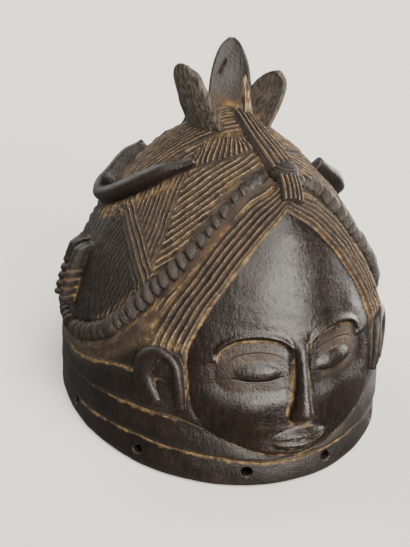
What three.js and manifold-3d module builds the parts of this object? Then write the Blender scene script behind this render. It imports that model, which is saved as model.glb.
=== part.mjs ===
// A helmet mask carved from one block of wood, with a face on its front and a second one on its back.
// Millimetres, +Z up. The origin is the middle of the rim on the ground. The front face looks along -Y.
// The wooden shell is hollow and open below. Everything on it is carved from the same block.

import * as THREE from 'three';
import { mergeVertices } from 'three/addons/utils/BufferGeometryUtils.js';
import Module from 'manifold-3d';

const wasm = await Module();
wasm.setup();

// The bare body: at each height, half its width, and its depth to the front and to the back.
const BODY_PROFILE = [
  { height: 0, side: 119, front: 136, back: 136 },
  { height: 40, side: 119, front: 135, back: 135 },
  { height: 75, side: 115, front: 131, back: 131 },
  { height: 105, side: 107.5, front: 124, back: 121 },
  { height: 135, side: 95, front: 115, back: 106 },
  { height: 160, side: 77.5, front: 105, back: 92 },
  { height: 180, side: 60, front: 93, back: 72 },
  { height: 197, side: 41, front: 70, back: 49 },
  { height: 210, side: 25, front: 42, back: 28 },
  { height: 219, side: 10, front: 18, back: 12 },
  { height: 222, side: 0.5, front: 0.6, back: 0.6 },
];
const BODY_TOP = 222;
const WALL = 11;

// The neck: three creases run round it and part it into rolls.
const ROLL_RISE = 3.2;
const ROLL_EDGE_RISE = 2.6;
const ROLL_FOOT = [2.5, 1.6];
const ROLL_FLAT_FROM = 0.2;
const ROLL_FLAT_TO = 0.8;
const CREASE_HALF = 3;
const BAND_RISE = 1;

// The face, from its own simple canon. Distances from the middle line are measured level, as x.
const BROW_START_X = 3;
const BROW_PEAK_X = 27;
const BROW_PEAK_HEIGHT = 107;
const BROW_ROOT_HEIGHT = 99;
const BROW_END_X = 49;
const BROW_END_HEIGHT = 95;
const BROW_HALF_HEIGHT = 2.4;
const BROW_RISE = 2.2;
const EYE_X = 29;
const EYE_HEIGHT = 88;
const EYE_HALF_WIDTH = 17;
const EYE_HALF_HEIGHT = 7;
const EYE_RISE = 4.5;
const SOCKET_DEPTH = 4.5;
const SOCKET_HALF_WIDTH = 24;
const SOCKET_HALF_HEIGHT = 17;
const SOCKET_OVER_EYE = 4;
const BRIDGE_HALF_WIDTH = 4;
const BRIDGE_FADE = 12;
const NOSE_STATIONS = [
  { height: 107, halfWidth: 3.5, rise: 0.5 },
  { height: 100, halfWidth: 4, rise: 3.5 },
  { height: 76, halfWidth: 5, rise: 6.5 },
  { height: 64, halfWidth: 7, rise: 9 },
  { height: 58, halfWidth: 9, rise: 10 },
  { height: 53, halfWidth: 8, rise: 5 },
  { height: 51, halfWidth: 6, rise: 0.5 },
];
const MOUTH_HALF_WIDTH = 20;
const UPPER_LIP_HEIGHT = 39.8;
const UPPER_LIP_HALF_HEIGHT = 3.3;
const LOWER_LIP_HEIGHT = 33.4;
const LOWER_LIP_HALF_HEIGHT = 3.5;
const LOWER_LIP_SHARE = 0.85;
const LIP_RISE = 5.5;
const CHIN_RISE = 4;
const CHIN_HEIGHT = 24;
const CHIN_HALF_WIDTH = 26;
const CHIN_HALF_HEIGHT = 10;

// The coiffure.
const STRAP_RIDGES = 5;
const STRAP_RISE = 4;
const BACK_STRAP_RIDGES = 2;
const PANEL_RIDGES = 5;
const PANEL_RISE = 2.6;
const GROOVE_SHARE = 0.35;
const SKIN_DEPTH = 4;
const FACE_SKIN_DEPTH = 3;
const BRAID_RADIUS = 7.6;
const BRAID_PITCH = 8.8;
const BACK_BRAID_PITCH = 22;
const BRAID_WAIST = 0.78;
const BRAID_SHOULDER = 0.72;
const BRAID_TOP = 0.75;
const BRAID_SLANT = 0.55;
const LEFT_BRAID_WORN = { share: 0.62, length: 105 };
const RIGHT_BRAID_WORN = { share: 0.8, length: 40 };
const BRAID_WHOLE = { share: 1, length: 1 };
const LOCK_RIDGES = 5;
const BACK_LOCK_RIDGES = 3;
const LOCK_RISE = 8;
const LOCK_TOP_HALF_WIDTH = 5;
const LOCK_END_HALF_WIDTH = 10.5;
const LOCK_VALLEY = 0.8;
const KNOT_RADIUS = 12;
const KNOT_ANGLE = 84;
const KNOT_HEIGHT = 198;
const TASSEL_RIDGES = 3;
const TASSEL_HALF_WIDTH = 7.5;
const TASSEL_RISE = 8;

// The horn bands and the fins at the sides.
const HORN_RISE = 12;
const HORN_HALF_WIDTH = 5;
const HORN_END_SHARE = 0.7;
const FIN_THICKNESS = 7;
const FIN_PLACES = [8, 20];
const FIN_TOP = 129;
const FIN_BOTTOM = 84;
const FIN_RISE = 13;
const FIN_CORNER = 3;
const FIN_NOTCHES = 4;
const FIN_FIRST_NOTCH = 90;
const FIN_NOTCH_HALF = 2;
const FIN_NOTCH_DEPTH = 2.5;
const FIN_NOTCH_PITCH = 8;

// The ears.
const EAR_RISE = 8;
const EAR_ARM_HALF_WIDTH = 3.2;
const EAR_FLAP_HALF_WIDTH = 7;

// The crest: petals round the top, of which the front one is broken off.
const CREST_X = -4;
const CREST_Y = -3;
const PETAL_FOOT = 203;
const PETAL_FOOT_RADIUS = 9;
const PETAL_RIM = 5;
const PETAL_KEEL = 5.4;
const PETAL_DISH = 3;
const PETAL_STATIONS = [0, 0.35, 0.62, 0.82, 0.94, 1];
const PETALS = [
  { turn: 197, tip: 257, tipRadius: 38.6, halfWidth: 19.8, slide: -6.3, bluntness: 4.1, ridge: 0.3 },
  { turn: 69, tip: 264, tipRadius: 38, halfWidth: 16.1, slide: -2.1, bluntness: 3, ridge: 0 },
  { turn: 14.5, tip: 246, tipRadius: 40.8, halfWidth: 18, slide: -6, bluntness: 4.8, ridge: 0 },
];

// The rim holes, by their turns about Z in degrees.
const HOLE_DIAMETER = 7.5;
const HOLE_HEIGHT = 13;
const HOLE_CORNERS = 6;
const HOLE_LENGTH = 60;
const HOLE_TURNS = [-173, -139, -105, -80, -53, -18, 16, 50, 84, 118, 152];

const COLUMNS = 38;
const FACE_COLUMN_SHARE = 0.34;
const DOME_ROWS = 7;
const INNER_COLUMNS = 20;
const INNER_ROWS = 6;
const INNER_TOP = 214;

const FRONT = -1;
const BACK = 1;
const SIDES = [-1, 1];

const clamp01 = (t) => Math.min(1, Math.max(0, t));
const smooth = (t) => THREE.MathUtils.smoothstep(t, 0, 1);
const mix = THREE.MathUtils.lerp;
const radians = THREE.MathUtils.degToRad;

// Reads the body profile at any height, with a smooth curve through its stations.
function bodyAt(height, key) {
  const z = Math.min(Math.max(height, 0), BODY_TOP);
  let i = 0;
  while (i < BODY_PROFILE.length - 2 && BODY_PROFILE[i + 1].height < z) i += 1;
  const low = BODY_PROFILE[i];
  const high = BODY_PROFILE[i + 1];
  const before = BODY_PROFILE[Math.max(i - 1, 0)];
  const after = BODY_PROFILE[Math.min(i + 2, BODY_PROFILE.length - 1)];
  const span = high.height - low.height;
  const slope = (from, to) => (to[key] - from[key]) / (to.height - from.height);
  const startSlope = slope(before, high) * span;
  const endSlope = slope(low, after) * span;
  const t = (z - low.height) / span;
  const eased = t * t * (3 - 2 * t);
  const slopes = t * (1 - t) ** 2 * startSlope - t * t * (1 - t) * endSlope;
  return mix(low[key], high[key], eased) + slopes;
}

// A point of the bare body at a turn about Z, in radians, and a height.
function bodyPoint(turn, height) {
  const side = bodyAt(height, 'side');
  const depth = bodyAt(height, Math.sin(turn) < 0 ? 'front' : 'back');
  const radius = 1 / Math.hypot(Math.cos(turn) / side, Math.sin(turn) / depth);
  return new THREE.Vector3(radius * Math.cos(turn), radius * Math.sin(turn), height);
}

function bodyNormal(turn, height) {
  const turnStep = 0.01;
  const heightStep = 0.5;
  const z = Math.min(Math.max(height, heightStep), BODY_TOP - 2 * heightStep);
  const along = bodyPoint(turn + turnStep, z).sub(bodyPoint(turn - turnStep, z));
  const up = bodyPoint(turn, z + heightStep).sub(bodyPoint(turn, z - heightStep));
  return along.cross(up).normalize();
}

// A point over the body, lifted along its normal.
function lifted(turn, height, lift) {
  return bodyPoint(turn, height).addScaledVector(bodyNormal(turn, height), lift);
}

// The turn about Z of a place given by its side (-1 or 1), its half (FRONT or BACK), and the angle in
// degrees from the side towards that half. The angle can be below 0, past the side.
function turnOf(side, half, angle) {
  const a = radians(angle);
  return Math.atan2(half * Math.sin(a), side * Math.cos(a));
}

// The angle in degrees from the nearest side towards the nearest face.
function angleOf(turn) {
  return THREE.MathUtils.radToDeg(Math.atan2(Math.abs(Math.sin(turn)), Math.abs(Math.cos(turn))));
}

const lowCrease = (angle) => 17 + 8 * smooth(angle / 45) - 6 * smooth((angle - 55) / 35);
const middleCrease = (angle) => 38 + 11 * smooth(angle / 48) - 27 * smooth((angle - 50) / 40);
const highCrease = (angle) => 54 + 20 * smooth(angle / 40);
const faceShare = (angle) => smooth((angle - 46) / 8);

// Relief of the face over the bare body: sockets under the brows, a full chin.
function faceRelief(x, height) {
  const across = Math.abs(x);
  const socketAcross = (across - EYE_X) / SOCKET_HALF_WIDTH;
  const socketUp = (height - EYE_HEIGHT - SOCKET_OVER_EYE) / SOCKET_HALF_HEIGHT;
  const socket = Math.exp(-(socketAcross ** 4) - socketUp ** 4);
  const bridge = smooth((across - BRIDGE_HALF_WIDTH) / BRIDGE_FADE);
  const chinAcross = across / CHIN_HALF_WIDTH;
  const chinUp = (height - CHIN_HEIGHT) / CHIN_HALF_HEIGHT;
  const chin = Math.exp(-(chinAcross ** 2) - chinUp ** 2);
  return CHIN_RISE * chin - SOCKET_DEPTH * socket * bridge;
}

function wasmSolid(geometry) {
  geometry.deleteAttribute('normal');
  geometry.deleteAttribute('uv');
  const merged = mergeVertices(geometry, 1e-4);
  const vertProperties = new Float32Array(merged.attributes.position.array);
  const triVerts = new Uint32Array(merged.index.array);
  return new wasm.Manifold(new wasm.Mesh({ numProp: 3, vertProperties, triVerts }));
}

// A closed solid through rings of points, each ring with as many points, its two ends closed by fans.
function loft(rings) {
  const count = rings[0].length;
  const points = rings.flat();
  const index = [];
  for (let r = 0; r < rings.length - 1; r += 1) {
    for (let c = 0; c < count; c += 1) {
      const a = r * count + c;
      const b = r * count + ((c + 1) % count);
      index.push(a, b, a + count, b, b + count, a + count);
    }
  }
  for (const end of [0, rings.length - 1]) {
    const middle = new THREE.Vector3();
    rings[end].forEach((point) => middle.addScaledVector(point, 1 / count));
    points.push(middle);
    for (let c = 0; c < count; c += 1) {
      const a = end * count + c;
      const b = end * count + ((c + 1) % count);
      const order = end === 0 ? [b, a] : [a, b];
      index.push(...order, points.length - 1);
    }
  }
  let volume = 0;
  for (let i = 0; i < index.length; i += 3) {
    const [a, b, c] = [points[index[i]], points[index[i + 1]], points[index[i + 2]]];
    volume += a.dot(b.clone().cross(c));
  }
  if (volume < 0) index.reverse();
  const geometry = new THREE.BufferGeometry().setFromPoints(points);
  geometry.setIndex(index);
  return wasmSolid(geometry);
}

// Turns about Z of the columns of the body, closer together on the two faces.
function columnTurns(count) {
  const turns = [];
  for (let i = 0; i < count; i += 1) {
    const t = (i / count) * 2 * Math.PI;
    turns.push(t + FACE_COLUMN_SHARE * 0.5 * Math.sin(2 * t));
  }
  return turns;
}

// One upright line of the body's outside, from the rim to the top: heights and lifts.
function bodyColumn(turn) {
  const angle = angleOf(turn);
  const low = lowCrease(angle);
  const middle = middleCrease(angle);
  const high = highCrease(angle);
  const neck = 1 - faceShare(angle);
  const chinRoll = smooth((middle - low) / 10);
  const column = [
    [0, 0],
    ROLL_FOOT,
    [low * 0.5, ROLL_RISE],
    [low - CREASE_HALF, ROLL_EDGE_RISE],
    [low, 0],
    [mix(low, middle, ROLL_FLAT_FROM), ROLL_EDGE_RISE * chinRoll],
    [mix(low, middle, ROLL_FLAT_TO), ROLL_EDGE_RISE * chinRoll],
    [middle, 0],
    [middle + CREASE_HALF, ROLL_EDGE_RISE * neck],
    [high - CREASE_HALF, ROLL_EDGE_RISE * neck],
    [high, 0],
    [high + CREASE_HALF, BAND_RISE * neck],
  ];
  const start = high + CREASE_HALF;
  for (let i = 1; i <= DOME_ROWS; i += 1) {
    const height = start + (BODY_TOP - start) * Math.sin((i / DOME_ROWS) * Math.PI * 0.5);
    column.push([height, BAND_RISE * neck * (1 - clamp01(i / 2))]);
  }
  return column;
}

function outside() {
  const turns = columnTurns(COLUMNS);
  const columns = turns.map(bodyColumn);
  const rings = [];
  for (let row = 0; row < columns[0].length; row += 1) {
    rings.push(turns.map((turn, i) => {
      const [height, lift] = columns[i][row];
      const point = bodyPoint(turn, height);
      const relief = faceRelief(point.x, height) * faceShare(angleOf(turn)) * smooth(height / 15);
      return lifted(turn, height, lift + relief);
    }));
  }
  rings[0].forEach((point) => point.setZ(0));
  return loft(rings);
}

// The hollow for the head, one wall thickness inside the bare body, and open below.
function hollow() {
  const turns = columnTurns(INNER_COLUMNS);
  const rings = [turns.map((turn) => lifted(turn, 0, -WALL).setZ(-5))];
  for (let i = 0; i <= INNER_ROWS; i += 1) {
    const height = INNER_TOP * Math.sin((i / INNER_ROWS) * Math.PI * 0.5);
    rings.push(turns.map((turn) => lifted(turn, height, -WALL)));
  }
  rings[1].forEach((point) => point.setZ(2));
  return loft(rings);
}

// A smooth path over the body through stations of [angle, height], from 0 to 1 along it.
function bodyPath(stations) {
  const points = stations.map(([angle, height]) => new THREE.Vector3(angle, height, 0));
  const curve = new THREE.CatmullRomCurve3(points, false, 'centripetal');
  return (t) => curve.getPoint(clamp01(t));
}

// A ridged skin between two paths over the body: its ridges run along the paths.
function ridgedPatch(side, half, pathA, pathB, ridges, rise, steps) {
  const rings = [];
  for (let s = 0; s <= steps; s += 1) {
    const t = s / steps;
    const a = pathA(t);
    const b = pathB(t);
    const ring = [];
    const place = (share, lift) => {
      const turn = turnOf(side, half, mix(a.x, b.x, share));
      return lifted(turn, mix(a.y, b.y, share), lift);
    };
    ring.push(place(0, -SKIN_DEPTH));
    for (let r = 0; r < ridges; r += 1) {
      ring.push(place(r / ridges, rise * GROOVE_SHARE * (r > 0)));
      ring.push(place((r + 0.5) / ridges, rise));
    }
    ring.push(place(1, 0), place(1, -SKIN_DEPTH));
    rings.push(ring);
  }
  return loft(rings);
}

// The hairline of a quarter, from the middle of the forehead down to the ear.
const HAIRLINE = bodyPath([[88, 181], [80, 171], [73, 157], [67, 142], [61, 124], [57, 107], [55, 94]]);
const STRAP_EDGE = bodyPath([[84, 190], [74, 183], [64, 167], [57, 150], [50, 130], [45, 110], [43, 97]]);

function strap(side, half) {
  const [ridges, steps] = half === FRONT ? [STRAP_RIDGES, 6] : [BACK_STRAP_RIDGES, 4];
  return ridgedPatch(side, half, HAIRLINE, STRAP_EDGE, ridges, STRAP_RISE, steps);
}

// Long ridges that sweep from beside the front lock down to the braid.
const PANEL_TOP = bodyPath([[83, 209], [58, 199], [38, 186], [23, 172], [14, 160]]);
const PANEL_LOW = bodyPath([[82, 205], [70, 194], [57, 175], [47, 155], [38, 135]]);

function panel(side) {
  return ridgedPatch(side, FRONT, PANEL_TOP, PANEL_LOW, PANEL_RIDGES, PANEL_RISE, 3);
}

// The double ridge that parts the panels, from under the horn to the braid.
const PARTING_A = bodyPath([[12, 163], [22, 153], [32, 138]]);
const PARTING_B = bodyPath([[6, 160], [18, 150], [29, 135]]);

function parting(side) {
  return ridgedPatch(side, FRONT, PARTING_A, PARTING_B, 2, PANEL_RISE, 2);
}

// A carved bar along a path on the body. Its section is given across the path and out from the body.
function bar(side, half, path, steps, section, slant = 0) {
  const rings = [];
  const at = (t) => {
    const station = path(t);
    const turn = turnOf(side, half, station.x);
    return { point: bodyPoint(turn, station.y), normal: bodyNormal(turn, station.y) };
  };
  for (let s = 0; s <= steps; s += 1) {
    const t = s / steps;
    const here = at(t);
    const ahead = at(Math.min(1, t + 0.01)).point.sub(at(Math.max(0, t - 0.01)).point).normalize();
    const across = here.normal.clone().cross(ahead).normalize();
    rings.push(section(t, s).map(([u, v]) => here.point.clone()
      .addScaledVector(across, u)
      .addScaledVector(here.normal, v)
      .addScaledVector(ahead, slant * u)));
  }
  return loft(rings);
}

// The garland braid, a rope of slanted turns laid in a ring round the head. It is worn down where it
// starts, beside the lock, and more so on the left.
const BRAID_FRONT = [[86, 199], [79, 195.3], [71.5, 190], [66.5, 184], [60, 171], [53.3, 156.6]];
BRAID_FRONT.push([44.5, 136.7], [35.4, 115.4], [29, 100.5], [21.6, 87.4], [8, 73], [0, 69.5]);
const BRAID_BACK = [[0, 69.5], [-12, 67], [-24, 68], [-36, 78], [-46, 98], [-54, 125], [-63, 150]];
BRAID_BACK.push([-73, 166], [-84, 180]);

function braid(side, stations, pitch, wear) {
  const path = bodyPath(stations);
  const place = (t) => bodyPoint(turnOf(side, FRONT, path(t).x), path(t).y);
  const parts = 60;
  let length = 0;
  for (let i = 0; i < parts; i += 1) length += place(i / parts).distanceTo(place((i + 1) / parts));
  const steps = Math.round(length / pitch) * 2;
  const section = (t, s) => {
    const worn = mix(wear.share, 1, smooth(t * length / wear.length));
    const radius = BRAID_RADIUS * worn * (s % 2 ? 1 : BRAID_WAIST);
    const shoulder = radius * BRAID_SHOULDER;
    const top = radius * BRAID_TOP;
    return [[-radius, -SKIN_DEPTH], [-shoulder, top], [shoulder, top], [radius, -SKIN_DEPTH]];
  };
  return bar(side, FRONT, path, steps, section, BRAID_SLANT * side);
}

// The horn band: a thick lip in a U, open towards the crest. The right one sits lower on the head.
const LEFT_HORN = [[38, 197], [25, 189], [10, 178], [-3, 166], [-17, 154], [-29, 149], [-38, 152]];
LEFT_HORN.push([-44, 162], [-53, 178]);
const RIGHT_HORN = [[41, 188], [32, 178], [20.5, 165.5], [6, 153], [-10, 145], [-26, 141], [-36, 145]];
RIGHT_HORN.push([-42, 154], [-51, 169]);

function horn(side) {
  const [stations, startShare] = side > 0 ? [RIGHT_HORN, 0.8] : [LEFT_HORN, 0.4];
  const path = bodyPath(stations);
  const section = (t) => {
    const start = mix(startShare, 1, smooth(t / 0.18));
    const end = mix(HORN_END_SHARE, 1, smooth((1 - t) / 0.1));
    const rise = HORN_RISE * start * end;
    const wide = HORN_HALF_WIDTH;
    const left = [[-wide - 1, -SKIN_DEPTH], [-wide, rise * 0.75], [-wide * 0.4, rise]];
    const right = [[wide * 0.5, rise], [wide, rise * 0.7], [wide + 1, -SKIN_DEPTH]];
    return [...left, ...right];
  };
  return bar(side, FRONT, path, 9, section);
}

// An upright fin with notches down its outer edge.
function fin(side, place) {
  const outline = new THREE.Shape();
  const outer = (height, inset) => side * (bodyAt(height, 'side') + FIN_RISE - inset);
  const root = (height) => side * (bodyAt(height, 'side') - WALL * 0.6);
  outline.moveTo(root(FIN_BOTTOM), FIN_BOTTOM);
  outline.lineTo(outer(FIN_BOTTOM, FIN_CORNER), FIN_BOTTOM);
  for (let i = 0; i < FIN_NOTCHES; i += 1) {
    const height = FIN_FIRST_NOTCH + i * FIN_NOTCH_PITCH;
    outline.lineTo(outer(height - FIN_NOTCH_HALF, 0), height - FIN_NOTCH_HALF);
    outline.lineTo(outer(height, FIN_NOTCH_DEPTH), height);
    outline.lineTo(outer(height + FIN_NOTCH_HALF, 0), height + FIN_NOTCH_HALF);
  }
  outline.lineTo(outer(FIN_TOP - FIN_CORNER, 0), FIN_TOP - FIN_CORNER);
  outline.lineTo(outer(FIN_TOP, FIN_CORNER), FIN_TOP);
  outline.lineTo(root(FIN_TOP), FIN_TOP);
  outline.closePath();
  const geometry = new THREE.ExtrudeGeometry(outline, { depth: FIN_THICKNESS, bevelEnabled: false });
  geometry.rotateX(Math.PI / 2);
  geometry.translate(0, place + FIN_THICKNESS / 2, 0);
  return wasmSolid(geometry);
}

// The ear: an arch over a hollow, with a narrow arm in front and a broad flap behind.
const EAR_ARCH = bodyPath([[55, 56], [54, 76], [52, 89], [47, 92], [43, 85], [42, 74], [44, 62], [47, 55]]);

function ear(side, half) {
  const section = (t) => {
    const rise = EAR_RISE * mix(0.55, 1, Math.sin(Math.PI * t));
    const flapShare = smooth((t - 0.4) / 0.25) * smooth((1.1 - t) / 0.2);
    const wide = mix(EAR_ARM_HALF_WIDTH, EAR_FLAP_HALF_WIDTH, flapShare);
    return [[-wide, -SKIN_DEPTH], [-wide * 0.7, rise], [wide * 0.4, rise], [wide, -SKIN_DEPTH]];
  };
  return bar(side, half, EAR_ARCH, half === FRONT ? 7 : 5, section);
}

// The lock that hangs from the crest over each forehead, a little to one side, with a knot and a tassel.
const LOCK = bodyPath([[88, 220], [87, 213], [85, 206], [84, 199]]);
const BACK_LOCK = bodyPath([[87, 212], [85, 206], [84, 199]]);
const TASSEL = bodyPath([[84, 199], [85, 193], [87.5, 185]]);
const lockSide = (half) => -half;

function ridgedBar(half, path, steps, ridges, halfWidthAt, rise) {
  const section = (t) => {
    const u = (share) => halfWidthAt(t) * (2 * share - 1);
    const ring = [[u(0), -SKIN_DEPTH], [u(0), rise * 0.75]];
    for (let r = 0; r < ridges; r += 1) {
      ring.push([u((r + 0.5) / ridges), rise], [u((r + 1) / ridges), rise * LOCK_VALLEY]);
    }
    ring.push([u(1), -SKIN_DEPTH]);
    return ring;
  };
  return bar(lockSide(half), half, path, steps, section);
}

function lock(half) {
  const halfWidthAt = (t) => mix(LOCK_TOP_HALF_WIDTH, LOCK_END_HALF_WIDTH, t);
  if (half === FRONT) return ridgedBar(half, LOCK, 4, LOCK_RIDGES, halfWidthAt, LOCK_RISE);
  return ridgedBar(half, BACK_LOCK, 2, BACK_LOCK_RIDGES, halfWidthAt, LOCK_RISE);
}

function tassel(half) {
  return ridgedBar(half, TASSEL, 2, TASSEL_RIDGES, () => TASSEL_HALF_WIDTH, TASSEL_RISE);
}

function knot(half) {
  const geometry = new THREE.SphereGeometry(KNOT_RADIUS, 6, 4);
  geometry.scale(1, 0.85, 0.75);
  const place = lifted(turnOf(lockSide(half), half, KNOT_ANGLE), KNOT_HEIGHT, 1);
  geometry.translate(place.x, place.y, place.z);
  return wasmSolid(geometry);
}

// A point over the face at a distance x from the middle line and a height.
function facePoint(half, x, height, lift) {
  const depth = bodyAt(height, half === FRONT ? 'front' : 'back');
  const share = Math.min(0.98, Math.abs(x) / bodyAt(height, 'side'));
  const turn = Math.atan2(half * depth * Math.sqrt(1 - share * share), x);
  return lifted(turn, height, lift + faceRelief(x, height));
}

function nose(half) {
  return loft(NOSE_STATIONS.map(({ height, halfWidth, rise }) => {
    const foot = halfWidth + 1.5;
    const left = [[-foot, -FACE_SKIN_DEPTH], [-halfWidth, rise * 0.35], [-halfWidth * 0.45, rise]];
    const right = [[halfWidth * 0.45, rise], [halfWidth, rise * 0.35], [foot, -FACE_SKIN_DEPTH]];
    return [...left, ...right].map(([x, lift]) => facePoint(half, x, height, lift));
  }));
}

// A spindle along a line on the face, such as a brow, a lid or a lip.
function spindle(half, line, halfHeight, rise, steps) {
  const rings = [];
  for (let s = 0; s <= steps; s += 1) {
    const t = s / steps;
    const [x, height] = line(t);
    const full = Math.sqrt(Math.max(0.02, Math.sin(Math.PI * t)));
    const high = halfHeight * full;
    const top = high * 0.45;
    const over = [[high, -FACE_SKIN_DEPTH], [top, rise * full]];
    const under = [[-top, rise * full], [-high, -FACE_SKIN_DEPTH]];
    rings.push([...over, ...under].map(([up, lift]) => facePoint(half, x, height + up, lift)));
  }
  return loft(rings);
}

function browLine(side) {
  return (t) => {
    const x = mix(BROW_START_X, BROW_END_X, t);
    const inner = smooth(x / BROW_PEAK_X);
    const outer = smooth((x - BROW_PEAK_X) / (BROW_END_X - BROW_PEAK_X));
    const rising = mix(BROW_ROOT_HEIGHT, BROW_PEAK_HEIGHT, inner);
    return [side * x, rising - (BROW_PEAK_HEIGHT - BROW_END_HEIGHT) * outer];
  };
}

function face(half) {
  const [browSteps, lidSteps] = half === FRONT ? [5, 4] : [4, 3];
  let solid = nose(half);
  for (const side of SIDES) {
    const eye = (t) => [side * (EYE_X + EYE_HALF_WIDTH * (2 * t - 1)), EYE_HEIGHT];
    solid = solid.add(spindle(half, browLine(side), BROW_HALF_HEIGHT, BROW_RISE, browSteps));
    solid = solid.add(spindle(half, eye, EYE_HALF_HEIGHT, EYE_RISE, lidSteps));
  }
  const upperLip = (t) => [MOUTH_HALF_WIDTH * (2 * t - 1), UPPER_LIP_HEIGHT];
  const lowerLip = (t) => [MOUTH_HALF_WIDTH * LOWER_LIP_SHARE * (2 * t - 1), LOWER_LIP_HEIGHT];
  solid = solid.add(spindle(half, upperLip, UPPER_LIP_HALF_HEIGHT, LIP_RISE, 4));
  return solid.add(spindle(half, lowerLip, LOWER_LIP_HALF_HEIGHT, LIP_RISE, 4));
}

// A petal: a keeled leaf that leans out from the top, dished on its inner side. Its ridge is the place
// of the keel across it, and a blunter one keeps its width nearer to the tip.
function petal({ turn, tip, tipRadius, halfWidth, slide, bluntness, ridge }) {
  const rings = [];
  for (const t of PETAL_STATIONS) {
    const share = Math.sqrt(Math.max(0.05, 1 - t ** bluntness));
    const radius = mix(PETAL_FOOT_RADIUS, tipRadius - PETAL_RIM, t);
    const keel = PETAL_KEEL * (1 - 0.6 * t) * Math.min(1, share + 0.2);
    const dish = PETAL_DISH * share;
    const flank = PETAL_RIM + keel * 0.6;
    const outline = [[-1, 0], [0, dish], [1, 0], [1, PETAL_RIM], [mix(ridge, 1, 0.5), flank]];
    outline.push([ridge, PETAL_RIM + keel], [mix(ridge, -1, 0.5), flank], [-1, PETAL_RIM]);
    const height = mix(PETAL_FOOT, tip, t);
    const wide = halfWidth * share;
    rings.push(outline.map(([u, out]) => new THREE.Vector3(radius + out, u * wide + slide, height)));
  }
  const spin = new THREE.Matrix4().makeRotationZ(radians(turn));
  const shift = new THREE.Matrix4().makeTranslation(CREST_X, CREST_Y, 0);
  rings.forEach((ring) => ring.forEach((point) => point.applyMatrix4(spin).applyMatrix4(shift)));
  return loft(rings);
}

// The rough splinter that still stands where the front petal split away.
function splinter() {
  const stations = [
    { height: 206, x: 2, y: -19, halfWidth: 10, halfDepth: 6 },
    { height: 218, x: 3, y: -19, halfWidth: 6.5, halfDepth: 5 },
    { height: 228, x: 2, y: -18, halfWidth: 3.6, halfDepth: 4.5 },
    { height: 238, x: 0.5, y: -19, halfWidth: 2.4, halfDepth: 3.2 },
    { height: 249, x: -2, y: -20, halfWidth: 1, halfDepth: 1.5 },
  ];
  const corners = [[-1, -0.6], [0.2, -1], [1, -0.3], [0.7, 1], [-0.6, 0.8]];
  return loft(stations.map(({ height, x, y, halfWidth, halfDepth }) => (
    corners.map(([u, v]) => new THREE.Vector3(x + u * halfWidth, y + v * halfDepth, height + 2 * u))
  )));
}

function rimHole(turn) {
  const radius = HOLE_DIAMETER / 2;
  const geometry = new THREE.CylinderGeometry(radius, radius, HOLE_LENGTH, HOLE_CORNERS);
  geometry.rotateZ(Math.PI / 2);
  geometry.rotateZ(turn);
  const place = bodyPoint(turn, HOLE_HEIGHT);
  geometry.translate(place.x, place.y, place.z);
  return wasmSolid(geometry);
}

const carved = [splinter()];
for (const spec of PETALS) carved.push(petal(spec));
for (const half of [FRONT, BACK]) {
  carved.push(face(half), lock(half), knot(half), tassel(half));
  for (const side of SIDES) carved.push(strap(side, half), ear(side, half));
}
for (const side of SIDES) {
  const frontWear = side > 0 ? RIGHT_BRAID_WORN : LEFT_BRAID_WORN;
  carved.push(braid(side, BRAID_FRONT, BRAID_PITCH, frontWear));
  carved.push(braid(side, BRAID_BACK, BACK_BRAID_PITCH, BRAID_WHOLE));
  carved.push(horn(side), panel(side), parting(side));
  for (const place of FIN_PLACES) carved.push(fin(side, place));
}
let mask = outside();
for (const solid of carved) mask = mask.add(solid);
mask = mask.subtract(hollow());
for (const turn of HOLE_TURNS) mask = mask.subtract(rimHole(radians(turn)));

const { vertProperties, triVerts } = mask.getMesh();
const geometry = new THREE.BufferGeometry();
geometry.setAttribute('position', new THREE.BufferAttribute(vertProperties, 3));
geometry.setIndex(new THREE.BufferAttribute(triVerts, 1));
geometry.computeVertexNormals();
const wood = new THREE.MeshStandardMaterial({ color: '#2b211c', roughness: 0.5, metalness: 0 });
const helmetMask = new THREE.Mesh(geometry, wood);
helmetMask.name = 'helmet_mask';

const group = new THREE.Group();
group.add(helmetMask);
export default group;
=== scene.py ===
"""A helmet mask carved from one block of wood, with a face in front and a second one behind.

It is hollow and open below, and stands on its rim. Millimetres are used for the carving, and each
finished mesh is put into metres. The front face looks along -Y, +Z is up, and left is towards -X.
"""

import math

import bpy
import numpy as np
from mathutils import Matrix, Vector


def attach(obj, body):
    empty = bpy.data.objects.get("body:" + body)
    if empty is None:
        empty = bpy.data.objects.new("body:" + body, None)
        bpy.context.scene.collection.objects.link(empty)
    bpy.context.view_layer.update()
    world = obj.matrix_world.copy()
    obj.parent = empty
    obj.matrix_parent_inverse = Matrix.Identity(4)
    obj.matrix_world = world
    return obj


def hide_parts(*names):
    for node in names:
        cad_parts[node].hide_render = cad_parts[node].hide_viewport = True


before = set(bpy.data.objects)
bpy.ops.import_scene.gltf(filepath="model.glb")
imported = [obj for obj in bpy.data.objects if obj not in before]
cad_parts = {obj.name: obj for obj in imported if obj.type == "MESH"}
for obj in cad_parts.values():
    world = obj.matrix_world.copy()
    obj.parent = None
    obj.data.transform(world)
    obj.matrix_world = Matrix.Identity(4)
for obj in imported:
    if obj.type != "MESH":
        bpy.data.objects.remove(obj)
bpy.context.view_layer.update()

# The view: the mask stands on pale paper, a little turned to its own left, and is seen from above its
# eyes. Five broad soft windows light it: one high and two low before it, one low at the picture's
# right, and one behind.
CAMERA_AT = (-250.2, -521.9, 396.6)
CAMERA_AIM = (-14.65, -1.85, 95.0)
CAMERA_ROLL = 3.0
FOCAL_PIXELS = 850
FRAME_HEIGHT_PIXELS = 547
SENSOR = 36.0
MM = 0.001
PAPER_REACH = 12.0


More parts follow.
